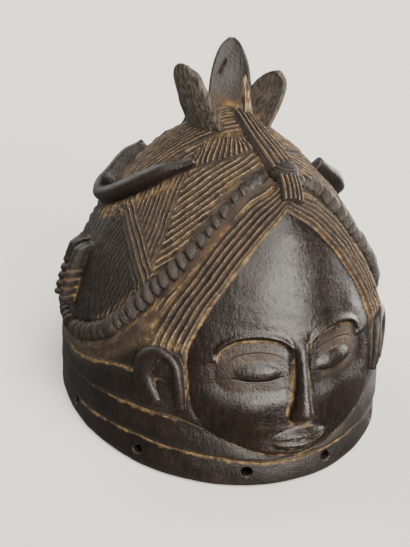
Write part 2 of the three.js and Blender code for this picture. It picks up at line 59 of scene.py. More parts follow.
def linear(code):
    """One sRGB hex colour as linear red, green, blue and 1: each channel by the sRGB curve."""
    channels = [int(code[i:i + 2], 16) / 255 for i in (1, 3, 5)]
    curve = [c / 12.92 if c <= 0.04045 else ((c + 0.055) / 1.055) ** 2.4 for c in channels]
    return (*curve, 1.0)


def add(material, kind, values=(), give=0, **settings):
    """One shader node: its properties, then numbers, colours or sockets for its inputs, in order or by
    name. It returns the output that is asked for."""
    node = material.node_tree.nodes.new(kind)
    for name, value in settings.items():
        setattr(node, name, value)
    for place, value in values.items() if isinstance(values, dict) else enumerate(values):
        if isinstance(value, bpy.types.NodeSocket):
            material.node_tree.links.new(value, node.inputs[place])
        else:
            node.inputs[place].default_value = value
    return node.outputs[give] if node.outputs else node


def new_material(name):
    """A node material with no nodes yet."""
    material = bpy.data.materials.new(name)
    material.use_nodes = True
    material.node_tree.nodes.clear()
    return material


forward = (Vector(CAMERA_AIM) - Vector(CAMERA_AT)).normalized()
level = forward.cross(Vector((0, 0, 1))).normalized()
upward = level.cross(forward)
roll = math.radians(CAMERA_ROLL)
right = level * math.cos(roll) + upward * math.sin(roll)
above = upward * math.cos(roll) - level * math.sin(roll)
lens = bpy.data.cameras.new("camera")
lens.sensor_fit = "VERTICAL"
lens.sensor_height = SENSOR
lens.lens = FOCAL_PIXELS / FRAME_HEIGHT_PIXELS * SENSOR
lens.clip_start = 0.01
camera = bpy.data.objects.new("camera", lens)
bpy.context.scene.collection.objects.link(camera)
camera.matrix_world = Matrix((
    (right.x, above.x, -forward.x, CAMERA_AT[0] * MM),
    (right.y, above.y, -forward.y, CAMERA_AT[1] * MM),
    (right.z, above.z, -forward.z, CAMERA_AT[2] * MM),
    (0, 0, 0, 1),
))
bpy.context.scene.camera = camera


def far_window(name, turn, rise, width, strength, colour):
    """A far soft light: its turn is from the front towards +X and its rise above the floor, in degrees."""
    lamp = bpy.data.lights.new(name, "SUN")
    lamp.angle = math.radians(width)
    lamp.energy = strength
    lamp.color = linear(colour)[:3]
    holder = bpy.data.objects.new(name, lamp)
    bpy.context.scene.collection.objects.link(holder)
    holder.rotation_euler = (math.radians(90 - rise), 0, math.radians(turn))


far_window("high_window", 2, 60, 46, 4.5, "#fff9f0")
far_window("low_window", 16, 8, 38, 5.6, "#fff9f1")
far_window("left_window", -15, 15, 38, 1.5, "#fff9f1")
far_window("right_window", 109, 5, 52, 5.2, "#fbf7f0")
far_window("rear_window", -150, 30, 60, 2.3, "#f8f8f6")
world = bpy.data.worlds.new("studio")
world.use_nodes = True
world.node_tree.nodes["Background"].inputs["Color"].default_value = linear("#f4f2ee")
world.node_tree.nodes["Background"].inputs["Strength"].default_value = 0.20
bpy.context.scene.world = world

# Uncoated paper: it has no shine, and its pale warm grey takes soft shadows.
paper = new_material("matt_paper")
paper_skin = add(paper, "ShaderNodeBsdfPrincipled", {
    "Base Color": linear("#ebeae6"),
    "Roughness": 0.9,
})
add(paper, "ShaderNodeOutputMaterial", {"Surface": paper_skin})


def placed(name, points, faces):
    """A mesh object in the scene, from points in metres."""
    mesh = bpy.data.meshes.new(name)
    mesh.from_pydata(points, [], faces)
    thing = bpy.data.objects.new(name, mesh)
    bpy.context.scene.collection.objects.link(thing)
    return thing


corners = [(PAPER_REACH * x, PAPER_REACH * y, 0) for x, y in ((-1, -1), (1, -1), (1, 1), (-1, 1))]
floor = placed("paper_floor", corners, [(0, 1, 2, 3)])
floor.data.materials.append(paper)
floor.visible_glossy = False

# The paper is taken up as a wall far off, which low views show. It gives the mask no light of its own.
WALL_SIDES, WALL_HEIGHT, WALL_REACH = 48, 4.5, 0.98 * PAPER_REACH
PAPER_GLOW = 1.9
far_paper = new_material("far_paper")
glow = add(far_paper, "ShaderNodeEmission", [linear("#fdfdfb"), PAPER_GLOW])
add(far_paper, "ShaderNodeOutputMaterial", {"Surface": glow})
wall_turns = 2 * np.pi * np.arange(WALL_SIDES) / WALL_SIDES
wall_foot = WALL_REACH * np.stack([np.cos(wall_turns), np.sin(wall_turns)], -1)
wall_points = [(x, y, z) for z in (0, WALL_HEIGHT) for x, y in wall_foot.tolist()]
round_foot = [(k, (k + 1) % WALL_SIDES) for k in range(WALL_SIDES)]
wall_faces = [(k, k + WALL_SIDES, beyond + WALL_SIDES, beyond) for k, beyond in round_foot]
wall = placed("paper_wall", wall_points, wall_faces)
wall.data.materials.append(far_paper)
wall.visible_glossy = wall.visible_diffuse = wall.visible_shadow = False


# The shell: a block of dense wood turned by adze and knife into a dome that goes over a head, 11 mm
# thick, with rolls of neck fat round its foot. Height, half width, depth to the front and to the back.
PROFILE = np.array([
    (0, 119, 136, 136),
    (40, 119, 135, 135),
    (75, 115, 131, 131),
    (105, 107.5, 124, 121),
    (135, 95, 115, 106),
    (160, 77.5, 105, 92),
    (180, 60, 93, 72),
    (197, 41, 70, 49),
    (210, 25, 42, 28),
    (219, 10, 18, 12),
    (222, 0.5, 0.6, 0.6),
], float)
DOME_TOP = 222
FRONT, BACK = -1, 1
FAR = 60.0


def ramp(value, start=0, width=1):
    """0 up to the start, 1 past its width, and the smooth cubic 3t^2 - 2t^3 between."""
    t = np.clip((value - start) / width, 0, 1)
    return t * t * (3 - 2 * t)


def hump(value, middle=0, width=1):
    """A bell, exp(-t^2), where t counts widths from the middle."""
    return np.exp(-np.square((value - middle) / width))


def kept(distance, share):
    """A signed distance as it is where share is 1, and stretched so far that no line shows at 0."""
    return distance * (1 + 20 * (1 - share))


def through(knots, values, at):
    """A smooth curve through values at knots: cubic Hermite, each slope taken from both neighbours."""
    at = np.clip(at, knots[0], knots[-1])
    low = np.clip(np.searchsorted(knots, at, side="left") - 1, 0, len(knots) - 2)
    high = low + 1
    before = np.maximum(low - 1, 0)
    after = np.minimum(low + 2, len(knots) - 1)
    span = knots[high] - knots[low]

    def slope(a, b):
        rise = values[b] - values[a]
        run = knots[b] - knots[a]
        return (rise.T / run * span).T

    t = (at - knots[low]) / span
    if values.ndim > 1:
        t = t[..., None]
    eased = t * t * (3 - 2 * t)
    bend = t * (1 - t) ** 2 * slope(before, high) - t * t * (1 - t) * slope(low, after)
    return values[low] * (1 - eased) + values[high] * eased + bend


def together(*values):
    """Arrays or numbers side by side, along a new last axis."""
    return np.stack(np.broadcast_arrays(*values), -1)


def dome_point(turn, height):
    """The bare dome at a turn about Z in radians: an ellipse of the profile's half axes at the height."""
    side, front, back = (through(PROFILE[:, 0], PROFILE[:, k], height) for k in (1, 2, 3))
    depth = np.where(np.sin(turn) < 0, front, back)
    radius = 1 / np.hypot(np.cos(turn) / side, np.sin(turn) / depth)
    return together(radius * np.cos(turn), radius * np.sin(turn), height)


ROUND_STEP, UP_STEP = 0.01, 0.5


def dome_normal(turn, height):
    """The dome's outward normal: the cross product of small steps round and up."""
    up = np.clip(height, UP_STEP, DOME_TOP - 1.0)
    round_step = dome_point(turn + ROUND_STEP, up) - dome_point(turn - ROUND_STEP, up)
    up_step = dome_point(turn, up + UP_STEP) - dome_point(turn, up - UP_STEP)
    normal = np.cross(round_step, up_step)
    return normal / np.linalg.norm(normal, axis=-1, keepdims=True)


WAVES = 14


def wander(points, wavelength, seed):
    """Slow unevenness of hand work, about -1 to 1: the sum of plane waves in fixed random directions."""
    dice = np.random.default_rng(seed)
    directions = dice.normal(size=(WAVES, 3))
    directions /= np.linalg.norm(directions, axis=1, keepdims=True)
    lengths = wavelength * dice.uniform(0.6, 1.6, WAVES)
    shifts = dice.uniform(0, 2 * np.pi, WAVES)
    waves = np.sin(points @ (directions / lengths[:, None]).T * 2 * np.pi + shifts)
    return waves.sum(-1) / 4.0


def turn_of(side, half, angle):
    """The turn about Z of an angle in degrees, counted from the side towards the front or the back."""
    a = np.radians(angle)
    return np.arctan2(half * np.sin(a), side * np.cos(a))


# Points that sample a line, points that bound a panel, and points of the carving compared at once.
LINE_SAMPLES, EDGE_POINTS, BLOCK = 600, 150, 20000


def line_on_dome(stations, count, side=1, half=FRONT):
    """A smooth line over the dome through [angle, height] stations: even steps, with its normals."""
    stations = np.array(stations, float)
    steps = np.linalg.norm(np.diff(stations, axis=0), axis=1)
    knots = np.concatenate([[0], np.cumsum(np.sqrt(steps))])

    def at(t):
        place = through(knots, stations, t)
        turn = turn_of(side, half, place[:, 0])
        return turn, place[:, 1]

    fine = np.linspace(0, knots[-1], LINE_SAMPLES)
    lengths = np.linalg.norm(np.diff(dome_point(*at(fine)), axis=0), axis=1)
    travelled = np.concatenate([[0], np.cumsum(lengths)])
    even = np.interp(np.linspace(0, travelled[-1], count), travelled, fine)
    turn, height = at(even)
    return dome_point(turn, height), dome_normal(turn, height)


def beside(points, stations, inside, half=FRONT):
    """Distance to a line on the dome, positive on the side of the place inside, and the way along it.

    The nearest point of each short piece of the line is found, and its sign is that of the triple
    product of the piece's direction, the offset and the dome's normal.
    """
    path, normals = line_on_dome(stations, EDGE_POINTS, 1, half)
    start, step = path[:-1], np.diff(path, axis=0)
    length = np.linalg.norm(step, axis=1)
    travelled = np.concatenate([[0], np.cumsum(length)[:-1]])
    reference = dome_point(turn_of(1, half, np.array([inside[0]])), np.array([inside[1]], float))
    everything = np.concatenate([points, reference])
    distance = np.empty(len(everything))
    along = np.empty(len(everything))
    for first in range(0, len(everything), BLOCK):
        block = everything[first:first + BLOCK]
        offset = block[:, None] - start
        t = np.clip((offset * step).sum(-1) / length ** 2, 0, 1)
        gap = offset - t[..., None] * step
        square = (gap * gap).sum(-1)
        nearest = square.argmin(1)
        rows = np.arange(len(block))
        handed = np.cross(step[nearest], gap[rows, nearest])
        sign = np.sign((handed * normals[nearest]).sum(-1))
        distance[first:first + BLOCK] = sign * np.sqrt(square[rows, nearest])
        along[first:first + BLOCK] = travelled[nearest] + t[rows, nearest] * length[nearest]
    return distance[:-1] * np.sign(distance[-1]), along[:-1]


def ridge(phase):
    """A row of rounded ridges, lowest at whole numbers: 0.5 - 0.5 cos(2 pi p)."""
    return 0.5 - 0.5 * np.cos(2 * np.pi * phase)


def sharp_ridge(phase):
    """A row of full ridges with sharp valleys at whole numbers: |sin(pi p)|^0.7."""
    return np.abs(np.sin(np.pi * phase)) ** 0.7


def between(value, low, high, soft):
    """1 between two limits, falling to 0 over a soft edge on each."""
    return ramp(value, low, soft) * ramp(high - value, 0, soft)


# The neck: rolls of flesh, each cut back under the lower lip of the one above it. They fade out
# towards the chin, where the face stands before them.
FOOT_RISE, ROLL_RISE = 3.2, 2.7


def crease_heights(angle):
    """The heights of the three lower lips, by the angle from the side in degrees."""
    low = 17 + 8 * ramp(angle / 45) - 6 * ramp(angle, 55, 35)
    middle = 38 + 11 * ramp(angle / 48) - 27 * ramp(angle, 50, 40)
    high = 54 + 20 * ramp(angle / 40)
    return low, middle, high


def neck(angle, height):
    """The lift of the rolls, and the height over each of their three lower lips.

    A roll is fullest at its lip, thins upwards as 1 - u^2, and fades out towards the face.
    """
    low, middle, high = crease_heights(angle)
    open_share = 1 - ramp(angle, 46, 8)
    chin_share = ramp((middle - low) / 10)

    def roll(bottom, top):
        u = np.clip((height - bottom) / np.maximum(top - bottom, 1), 0, 1)
        return (1 - u ** 2) * ramp(height - bottom, -0.5, 1.4)

    lift = FOOT_RISE * (1 - np.clip(height / low, 0, 1) ** 2.2)
    lift = lift + ROLL_RISE * (chin_share * roll(low, middle) + open_share * roll(middle, high))
    lift = lift + ROLL_RISE * open_share * roll(high, high + 45)
    over_lips = together(height - low, kept(height - middle, chin_share), kept(height - high, open_share))
    return lift, over_lips


# The face: a calm one in the type's own canon, the same left and right. A high smooth forehead over
# arched brows, lowered lids with a narrow slit, a long slim nose and a small closed mouth.
EYE_X, EYE_HEIGHT = 28.5, 86
EYE_HALF_WIDTH, EYE_HALF_HEIGHT = 18, 9
BROW_FOOT, BROW_RISE, BROW_HALF_WIDTH = 92, 17, 25.5
LIPS_HEIGHT, LIPS_HALF_WIDTH = 36.6, 20
SOCKET_DEPTH, BROW_LIP, EYEBALL_RISE, SLIT_DEPTH, LID_LIP, FOLD_LIP = 5.0, 1.3, 5.2, 2.2, 1.2, 0.9
LIPS_RISE, MUZZLE_RISE, CHIN_RISE, CHEEK_RISE = 4.4, 1.6, 4.0, 1.6
# Height, half width and rise of the nose, from under its tip up to between the brows.
NOSE = np.array([
    (48, 3, 0.0), (50, 6.5, 4.0), (52.5, 8.6, 8), (56, 8.8, 11), (62, 7.0, 10.2), (74, 5.0, 7.6),
    (88, 4.2, 5.6), (99, 4.6, 4.2), (106, 6.5, 1.6), (112, 8, 0.0),
], float)


def face_relief(x, height):
    """Lift of the face over the dome, the distances to its knife lines, and how dusty its hollows are.

    Brow and fold are half ellipses, the eyeball is a flattened dome, and the lips are half sine waves.
    """
    across = np.abs(x)
    from_eye = (across - EYE_X) / EYE_HALF_WIDTH
    brow_reach = (across - EYE_X) / BROW_HALF_WIDTH
    brow = BROW_FOOT + BROW_RISE * np.sqrt(np.clip(1 - brow_reach ** 2, 0, 1))
    brow_share = ramp((1.0 - np.abs(brow_reach)) / 0.12)
    under_brow = ramp(brow - height, -0.8, 2.2)
    socket = np.exp(-((across - EYE_X) / 27) ** 4 - ((height - 89) / 18) ** 4)
    lift = -SOCKET_DEPTH * socket * under_brow * ramp(across, 3, 9)
    lift += BROW_LIP * hump(height - brow, 1.6, 1.9) * brow_share
    ball = np.clip(1 - from_eye ** 2 - ((height - EYE_HEIGHT) / EYE_HALF_HEIGHT) ** 2, 0, 1)
    lift += EYEBALL_RISE * ball ** 0.6
    slit = EYE_HEIGHT - 3.6 - 2.0 * (1 - from_eye ** 2)
    in_eye = ramp((1.02 - np.abs(from_eye)) / 0.12)
    lift -= SLIT_DEPTH * ramp(slit - height, -0.5, 1.1) * ball ** 0.3 * in_eye
    lift += LID_LIP * hump(height - slit, -3.2, 1.3) * in_eye
    fold = EYE_HEIGHT + 3.5 + 9.5 * np.sqrt(np.clip(1 - (from_eye / 1.1) ** 2, 0, 1))
    fold_share = ramp((1.08 - np.abs(from_eye)) / 0.12)
    lift += FOLD_LIP * hump(height - fold, 1.3, 1.3) * fold_share
    wide = np.interp(height, NOSE[:, 0], NOSE[:, 1])
    rise = np.interp(height, NOSE[:, 0], NOSE[:, 2])
    q = np.clip(across / wide, 0, 1)
    on_nose = np.clip(1 - q ** 2.2, 0, 1) ** 0.7
    lift = np.maximum(lift, rise * on_nose + np.maximum(lift, -2) * (1 - on_nose))
    full = np.sqrt(np.clip(1 - (x / LIPS_HALF_WIDTH) ** 2, 0, 1))
    line = LIPS_HEIGHT + 0.9 * hump(x / 9) - 0.5 * hump(x / 3.5)
    upper = np.clip((height - line) / (6.2 * full + 0.01), 0, 1)
    lower = np.clip((line - height) / (7.0 * full + 0.01), 0, 1)
    lip = np.where(height > line, np.sin(np.pi * upper ** 0.7), np.sin(np.pi * lower ** 0.75))
    lift += LIPS_RISE * full * np.clip(lip, 0, 1) ** 0.8 - 1.2 * hump(height - line) * (full > 0.1)
    lift += MUZZLE_RISE * hump(x / 22) * hump(height, LIPS_HEIGHT, 11)
    lift += CHIN_RISE * hump(across / 26) * hump(height, 24, 9)
    lift += CHEEK_RISE * hump(across, 36, 19) * hump(height, 60, 17)
    mouth = kept(height - line, ramp(full, 0.1, 0.25))
    lines = together(
        kept(height - brow, brow_share), kept(height - fold, fold_share), kept(height - slit, in_eye),
    )
    dusty = 0.30 * socket * under_brow * (1 - ball) * ramp(across, 10, 8)
    dusty = np.maximum(dusty, 0.28 * hump(across - wide, 1.0, 1.5) * between(height, 60, 98, 8))
    dusty = np.maximum(dusty, 0.35 * hump((height - line) / 3) * hump(across, 16, 6))
    return lift, lines, mouth, dusty


# The coiffure: hair cut as fine ridges that run in panels between the straps, the braid and the horns.
# Each panel's ridges keep a measured pitch, in millimetres, and meet the next panel at a plain edge.
# The lines between go through stations: degrees from the side towards the front, and height.
FACE_EDGE = [[90, 183], [88, 181], [80, 171], [73, 157], [67, 142], [61, 124], [57, 107], [55, 94], [56, 77],
             [57.5, 60], [62, 46], [70, 35], [80, 27], [90, 24]]
STRAP_EDGE = [[87, 192], [84, 190], [74, 183], [64, 167], [57, 150], [50, 130], [45, 110], [43, 97]]
PANEL_EDGE = [[36, 200], [37, 184], [38.4, 169], [38, 150], [37, 131], [35.5, 118]]
PARTING = [[4, 163], [11.8, 159.1], [26.1, 148.8], [35.7, 134.9], [38.5, 128]]
COMB_LOW = [[94, 209], [83, 207], [69, 204], [54.5, 199.7], [43, 195.5], [33, 192.7], [21.5, 192.8]]
COMB_TOP = [[94, 213], [84, 212.6], [67, 212.6], [44.7, 210.2], [27.3, 205.5], [19, 199.6], [16, 193]]
FRONT_BRAID = [[86, 199], [79, 195.3], [71.5, 190], [66.5, 184], [60, 171], [53.3, 156.6], [44.5, 136.7],
               [35.4, 115.4], [29, 100.5], [21.6, 87.4], [8, 73], [0, 69.5]]
BACK_BRAID = [[0, 69.5], [-12, 67], [-24, 68], [-36, 78], [-46, 98], [-54, 125], [-63, 150], [-73, 166],
              [-84, 180]]
CHEVRON = [[-2, 158], [18.6, 144.5], [27.3, 132], [34, 117], [38, 108]]
LEFT_HORN = [[38, 197], [25, 189], [10, 178], [-3, 166], [-17, 154], [-29, 149], [-38, 152], [-44, 162],
             [-53, 178]]
RIGHT_HORN = [[41, 188], [32, 178], [20.5, 165.5], [6, 153], [-10, 145], [-26, 141], [-36, 145], [-42, 154],
              [-51, 169]]
STRAP_RIDGES, BACK_STRAP_RIDGES = 5.5, 3.0
STRAP_RISE, BACK_STRAP_RISE = 4.0, 3.0
INFILL_PITCH, LONG_PITCH, COMB_PITCH, ARM_PITCH = 3.8, 3.4, 4.0, 3.9
FIELD_PITCH, CROWN_PITCH, BACK_PITCH, MARGIN_PITCH = 3.6, 3.9, 6.5, 3.7
# Straight rows are cut by parallel planes, and the field's are wrapped round the dome behind the side.
# These are the planes' normals on the right side, and the left side mirrors it.
LONG_PLANE = np.array([0.441, 0.519, 0.732])
FIELD_PLANE = np.array([0.267, 0.951, 0.158])
CROWN_PLANE = np.array([-0.380, 0.913, 0.150])
# Where panels begin or end: degrees from the side towards the front, and heights.
LONG_FROM, COMB_FROM, ARM_TO, BEHIND_TO, CROWN_FROM = 25, 17, 45, -34, -60
STRAP_FOOT, MARGIN_FOOT, CROWN_FOOT = 92, 112, 150


def towards_front(points):
    """Degrees from the nearer side towards the front, and below 0 behind it."""
    return np.degrees(np.arctan2(-points[:, 1], np.abs(points[:, 0])))


def coiffure(points, height, front):
    """Lift of the hair, ridge phase and depth, dust, the share of hair and the distance to the face.

    Every panel is bounded by distances to the lines above. Its phase is a distance divided by its pitch,
    either to such a line or along a plane's normal, so that the ridges run along the line or plane.
    """
    one_side = together(np.abs(points[:, 0]), points[:, 1], points[:, 2])
    from_face, from_strap = [
        np.where(front, *(beside(one_side, edge, (20, 120), half)[0] for half in (FRONT, BACK)))
        for edge in (FACE_EDGE, STRAP_EDGE)
    ]
    comb_low, comb_along = beside(one_side, COMB_LOW, (50, 205))
    in_loop, panel, parting, comb_top, chevron = [beside(one_side, line, inside)[0] for line, inside in (
        ([[98, 205]] + FRONT_BRAID + BACK_BRAID[1:], (0, 150)), (PANEL_EDGE, (60, 170)),
        (PARTING, (25, 170)), (COMB_TOP, (50, 203)), (CHEVRON, (36, 122)),
    )]
    horns = [beside(one_side, stations, (-8, 185)) for stations in (LEFT_HORN, RIGHT_HORN)]
    in_horn, horn_along = (np.where(points[:, 0] > 0, right, left) for left, right in zip(*horns))
    signed_angle = towards_front(points)
    wobble = 0.12 * wander(points, 30, 3) + 0.045 * wander(points, 9, 4)
    uneven = 1 + 0.14 * wander(points, 9, 5)
    around = np.hypot(points[:, 0], points[:, 1])
    wrapped = together(around, -around * np.radians(signed_angle), height)
    wrapped = np.where((signed_angle < 0)[:, None], wrapped, one_side)

    on_strap = ramp(from_face, 0.6, 1.6) * ramp(-from_strap, 0.2, 1.4)
    on_strap = on_strap * ramp(height, STRAP_FOOT, 6)
    across_strap = from_face / np.maximum(from_face - from_strap, 1)
    phase = across_strap * np.where(front, STRAP_RIDGES, BACK_STRAP_RIDGES) + 0.5 * wobble
    depth = on_strap
    lift = np.where(front, STRAP_RISE, BACK_STRAP_RISE) * on_strap * (0.5 + 0.5 * uneven * ridge(phase))

    loop = ramp(in_loop, 6, 2)
    below_horn = ramp(-in_horn, 5, 2)
    over_comb = np.where(comb_low > 0, 0, 1)
    long_zone = loop * front * ramp(panel, 0.2, 1.0) * ramp(-comb_low, 1.0, 1.5)
    long_zone = long_zone * (signed_angle > LONG_FROM)
    infill = loop * front * ramp(-panel, 0.2, 1.0) * ramp(parting, 5, 1.0) * below_horn * over_comb
    arm = loop * front * ramp((6 - np.abs(parting)) / 1.2) * below_horn * (signed_angle < ARM_TO)
    field = loop * ramp(-parting, 6, 1.2) * below_horn * (signed_angle > BEHIND_TO)
    comb = front * ramp(comb_low, 0.5, 1.5) * ramp(comb_top, 0.5, 1.5) * (signed_angle > COMB_FROM)
    crown = ramp(in_horn, -4, 2) * (1 - ramp(comb_low, -2, 2)) * (signed_angle > CROWN_FROM)
    crown = np.maximum(crown, ramp(-comb_top, 0.8, 1.2)) * (height > CROWN_FOOT)
    crown = crown * (1 - long_zone) * (1 - comb) * loop
    behind = loop * (signed_angle <= BEHIND_TO) * below_horn
    margin = front * ramp(from_strap, 0.4, 1.0) * ramp(-in_loop, 8, 1.5)
    margin = margin * ramp(height, MARGIN_FOOT, 10)
    field_phase = np.where(chevron > 0, parting / (0.95 * FIELD_PITCH), wrapped @ FIELD_PLANE / FIELD_PITCH)
    for zone, zone_phase, rise in (
        (long_zone, one_side @ LONG_PLANE / LONG_PITCH, 1.3),
        (infill, panel / INFILL_PITCH, 1.3),
        (arm, parting / ARM_PITCH + 0.5, 1.7),
        (field, field_phase, 1.4),
        (comb, (comb_along + 0.3 * comb_low) / COMB_PITCH, 1.9),
        (crown, one_side @ CROWN_PLANE / CROWN_PITCH, 1.0),
        (behind, in_loop / BACK_PITCH, 1.3),
        (margin, from_strap / MARGIN_PITCH, 1.2),
    ):
        chosen = zone > np.maximum(depth, 0.02)
        phase = np.where(chosen, zone_phase + wobble, phase)
        lift = lift + zone * (0.5 + rise * uneven * ridge(zone_phase + wobble)) * (1 - on_strap)
        depth = np.maximum(depth, zone)
    hair = ramp(from_face, -0.5, 1.5) * ramp(height, 85, 12)
    lift = lift + 0.9 * hair * (1 - np.clip(depth, 0, 1))
    broken = hump(in_loop, 9, 4) * between(signed_angle, 38, 78, 6) * front
    lift = lift + broken * 0.7 * wander(points, 5, 6)

    # Dust lies on the crown's rows, along the hairline and the strap, below the braid and where its turns
    # broke off, above it, at the strap's foot, below and inside the horn, and round the crest.
    dust = 0.28 * hair - 0.13 * field * ramp(signed_angle, BEHIND_TO, 20) + 0.21 * (long_zone + comb)
    for share, lies in (
        (0.10, crown),
        (0.30, hump(from_face, -0.4, 1.0) * ramp(height, 60, 20)),
        (0.30, hump(from_strap, 1.2, 1.2) * (height > 105)),
        (0.55, hump(in_loop, -9, 2.0) * ramp((150 - height) / 40) * (1 - on_strap)),
        (0.28, hump(in_loop, -17, 8) * (height < MARGIN_FOOT) * (1 - on_strap)),
        (0.22, broken),
        (0.30, hump(in_loop, 8, 2) * between(signed_angle, 10, 40, 6)),
        (0.60, hump(height, 97, 6) * on_strap),
        (0.60, hump(in_horn, -11, 5) * between(horn_along, 10, 95, 12)),
        (0.50, hump(in_horn, 9, 5) * between(horn_along, 55, 120, 10)),
        (0.45, ramp(height, 205, 10)),
    ):
        dust = dust + share * lies
    return lift, phase, depth, np.clip(dust, 0, 1), hair, from_face


def band_quads(grid):
    """Four-sided faces between the rows of an index grid that closes on itself."""
    beyond = np.roll(grid, -1, axis=1)
    return np.stack([grid[:-1], beyond[:-1], beyond[1:], grid[1:]], -1).reshape(-1, 4)


def fan(ring, pole):
    """Triangles from a closed ring of indices to one point."""
    return together(ring, np.roll(ring, -1), pole)


def closed(rings):
    """Points and faces of a solid through rings of points, with a fan on each end, facing outwards."""
    n, k, _ = rings.shape
    points = np.concatenate([rings.reshape(-1, 3), rings[0].mean(0)[None], rings[-1].mean(0)[None]])
    index = np.arange(n * k).reshape(n, k)
    quads = band_quads(index)
    fans = np.concatenate([fan(index[0], n * k)[:, [1, 0, 2]], fan(index[-1], n * k + 1)])
    a, b, c = points[np.concatenate([quads[:, :3], quads[:, [0, 2, 3]], fans])].transpose(1, 0, 2)
    faces = quads.tolist() + fans.tolist()
    if (np.cross(a, b) * c).sum() < 0:
        faces = [face[::-1] for face in faces]
    return points, faces


# What each point of the carving carries for its finish: hair holds ridge phase and depth; lips, eyes
# and marks hold signed distances to knife lines; finish holds dust, polish and bare wood, which on the
# petals is a painted grey sheen.
AWAY = (FAR, FAR, FAR)
PLAIN = {"hair": (0.5, 0, 0), "lips": AWAY, "eyes": AWAY, "marks": AWAY, "finish": (0, 0, 0)}


def wooden(name, points, faces, **carried):
    """A mesh object from points in millimetres, with what they carry as attributes."""
    thing = placed(name, (points * MM).tolist(), faces)
    for label, plain in PLAIN.items():
        layer = thing.data.attributes.new(label, "FLOAT_VECTOR", "POINT")
        filled = np.broadcast_to(np.asarray(carried.get(label, plain), np.float32), (len(points), 3))
        layer.data.foreach_set("vector", np.ascontiguousarray(filled).ravel())
    return thing


def cut_in_two(quads, level_at):
    """Triangles from quads, each cut between the two corners whose levels differ least."""
    a, b, c, d = quads.T
    along = (np.abs(level_at[a] - level_at[c]) <= np.abs(level_at[b] - level_at[d]))[:, None]
    first = np.where(along, together(a, b, c), together(a, b, d))
    second = np.where(along, together(a, c, d), together(b, c, d))
    return np.concatenate([first, second]).tolist()


def stitch(outer, inner):
    """Triangles from a ring to one with a whole fraction of its points."""
    ratio = len(outer) // len(inner)
    faces = []
    for k in range(len(inner)):
        ahead = inner[(k + 1) % len(inner)]
        for j in range(ratio):
            a, b = outer[k * ratio + j], outer[(k * ratio + j + 1) % len(outer)]
            faces.append((a, b, inner[k] if j < ratio / 2 else ahead))
            if j == (ratio - 1) // 2:
                faces.append((b, ahead, inner[k]))
    return faces


# The carved shell is a grid over the dome. Its rows are closer in the hair and at the lips.
FRONT_COLUMNS, BACK_COLUMNS = 272, 120
ROW_STEP, HAIR_ROW_STEP = 1.9, 1.35
HAIR_FOOT, LIPS_REACH = 76, 9
CROWN_HEIGHT = 203
# Chips in the rim: turn and width in degrees, and depth. A drying crack runs up from the rim too.
CHIPS = [(-134, 2.2, 1.4), (-128, 1.6, 0.9), (-121, 2.6, 1.7), (-117, 1.5, 0.8), (-104, 1.2, 0.7),
         (-150, 2, 0.9), (-88, 2.4, 1.0), (-62, 1.6, 1.3), (-40, 2.2, 0.9), (70, 3, 1.2)]
CRACK_TURN, CRACK_HEIGHT = -118, 11
MM_A_DEGREE = 2.2

front_turns = -np.pi + np.pi * np.arange(FRONT_COLUMNS) / FRONT_COLUMNS
back_turns = np.pi * np.arange(BACK_COLUMNS) / BACK_COLUMNS
turns = np.concatenate([front_turns + 0.1 * np.sin(2 * front_turns), back_turns])
fine_heights = np.linspace(0, DOME_TOP, 2000)
reach_out = through(PROFILE[:, 0], PROFILE[:, 1:].mean(1), fine_heights)
slope_length = np.concatenate([[0], np.cumsum(np.hypot(np.diff(fine_heights), np.diff(reach_out)))])
in_lips = np.abs(fine_heights - LIPS_HEIGHT) < LIPS_REACH
row_step = np.where((fine_heights > HAIR_FOOT) | in_lips, HAIR_ROW_STEP, ROW_STEP)
rows_passed = np.concatenate([[0], np.cumsum(np.diff(slope_length) / row_step[1:])])
heights = np.interp(np.arange(int(rows_passed[-1]) - 1), rows_passed, fine_heights)


def dome_grid(turns, heights):
    """The turn, height, point and normal of each place in a grid over the dome, row by row."""
    turn, height = (values.ravel() for values in np.meshgrid(turns, heights))
    return turn, height, dome_point(turn, height), dome_normal(turn, height)


grid_turn, grid_height, bare_points, grid_normals = dome_grid(turns, heights)
angle = np.degrees(np.arctan2(np.abs(np.sin(grid_turn)), np.abs(np.cos(grid_turn))))
at_front = np.sin(grid_turn) < 0
hair_lift, phase, depth, dust, hair, from_face = coiffure(bare_points, grid_height, at_front)
neck_lift, lips = neck(angle, grid_height)
face_lift, face_lines, mouth_line, face_dust = face_relief(bare_points[:, 0], grid_height)
near_face = angle > 40
on_face = ramp(-from_face, -1.0, 3.0) * near_face
beside_face = ramp(from_face, -0.8, 1.6) * (grid_height < 96) * ramp(grid_height, 40, 15) * near_face
lift = neck_lift * (1 - on_face) + hair_lift + face_lift * on_face * np.where(at_front, 1.0, 0.85)
lift = lift + 0.9 * beside_face
lift = lift + 0.35 * wander(bare_points, 45, 1) + 0.12 * wander(bare_points, 14, 2)
lips = kept(lips, (1 - on_face)[:, None])
face_lines = kept(face_lines, on_face[:, None])
crack = (np.degrees(grid_turn) - CRACK_TURN - 0.25 * np.sin(grid_height * 0.9)) * MM_A_DEGREE
crack = kept(crack, 1.0 * (grid_height < CRACK_HEIGHT))
dust = np.maximum(dust, face_dust * on_face)
polish = on_face * (1 - face_dust) + 0.25 * (1 - hair) * (1 - on_face)
outside = bare_points + grid_normals * (lift * ramp(grid_height / 2.5))[:, None]
chipped = sum(deep * hump((np.degrees(grid_turn) - turn) / wide) for turn, wide, deep in CHIPS)
low_edge = np.where(grid_height < 0.1, chipped, np.maximum(outside[:, 2], 0.6 + chipped * (grid_height < 3)))
outside[:, 2] = low_edge

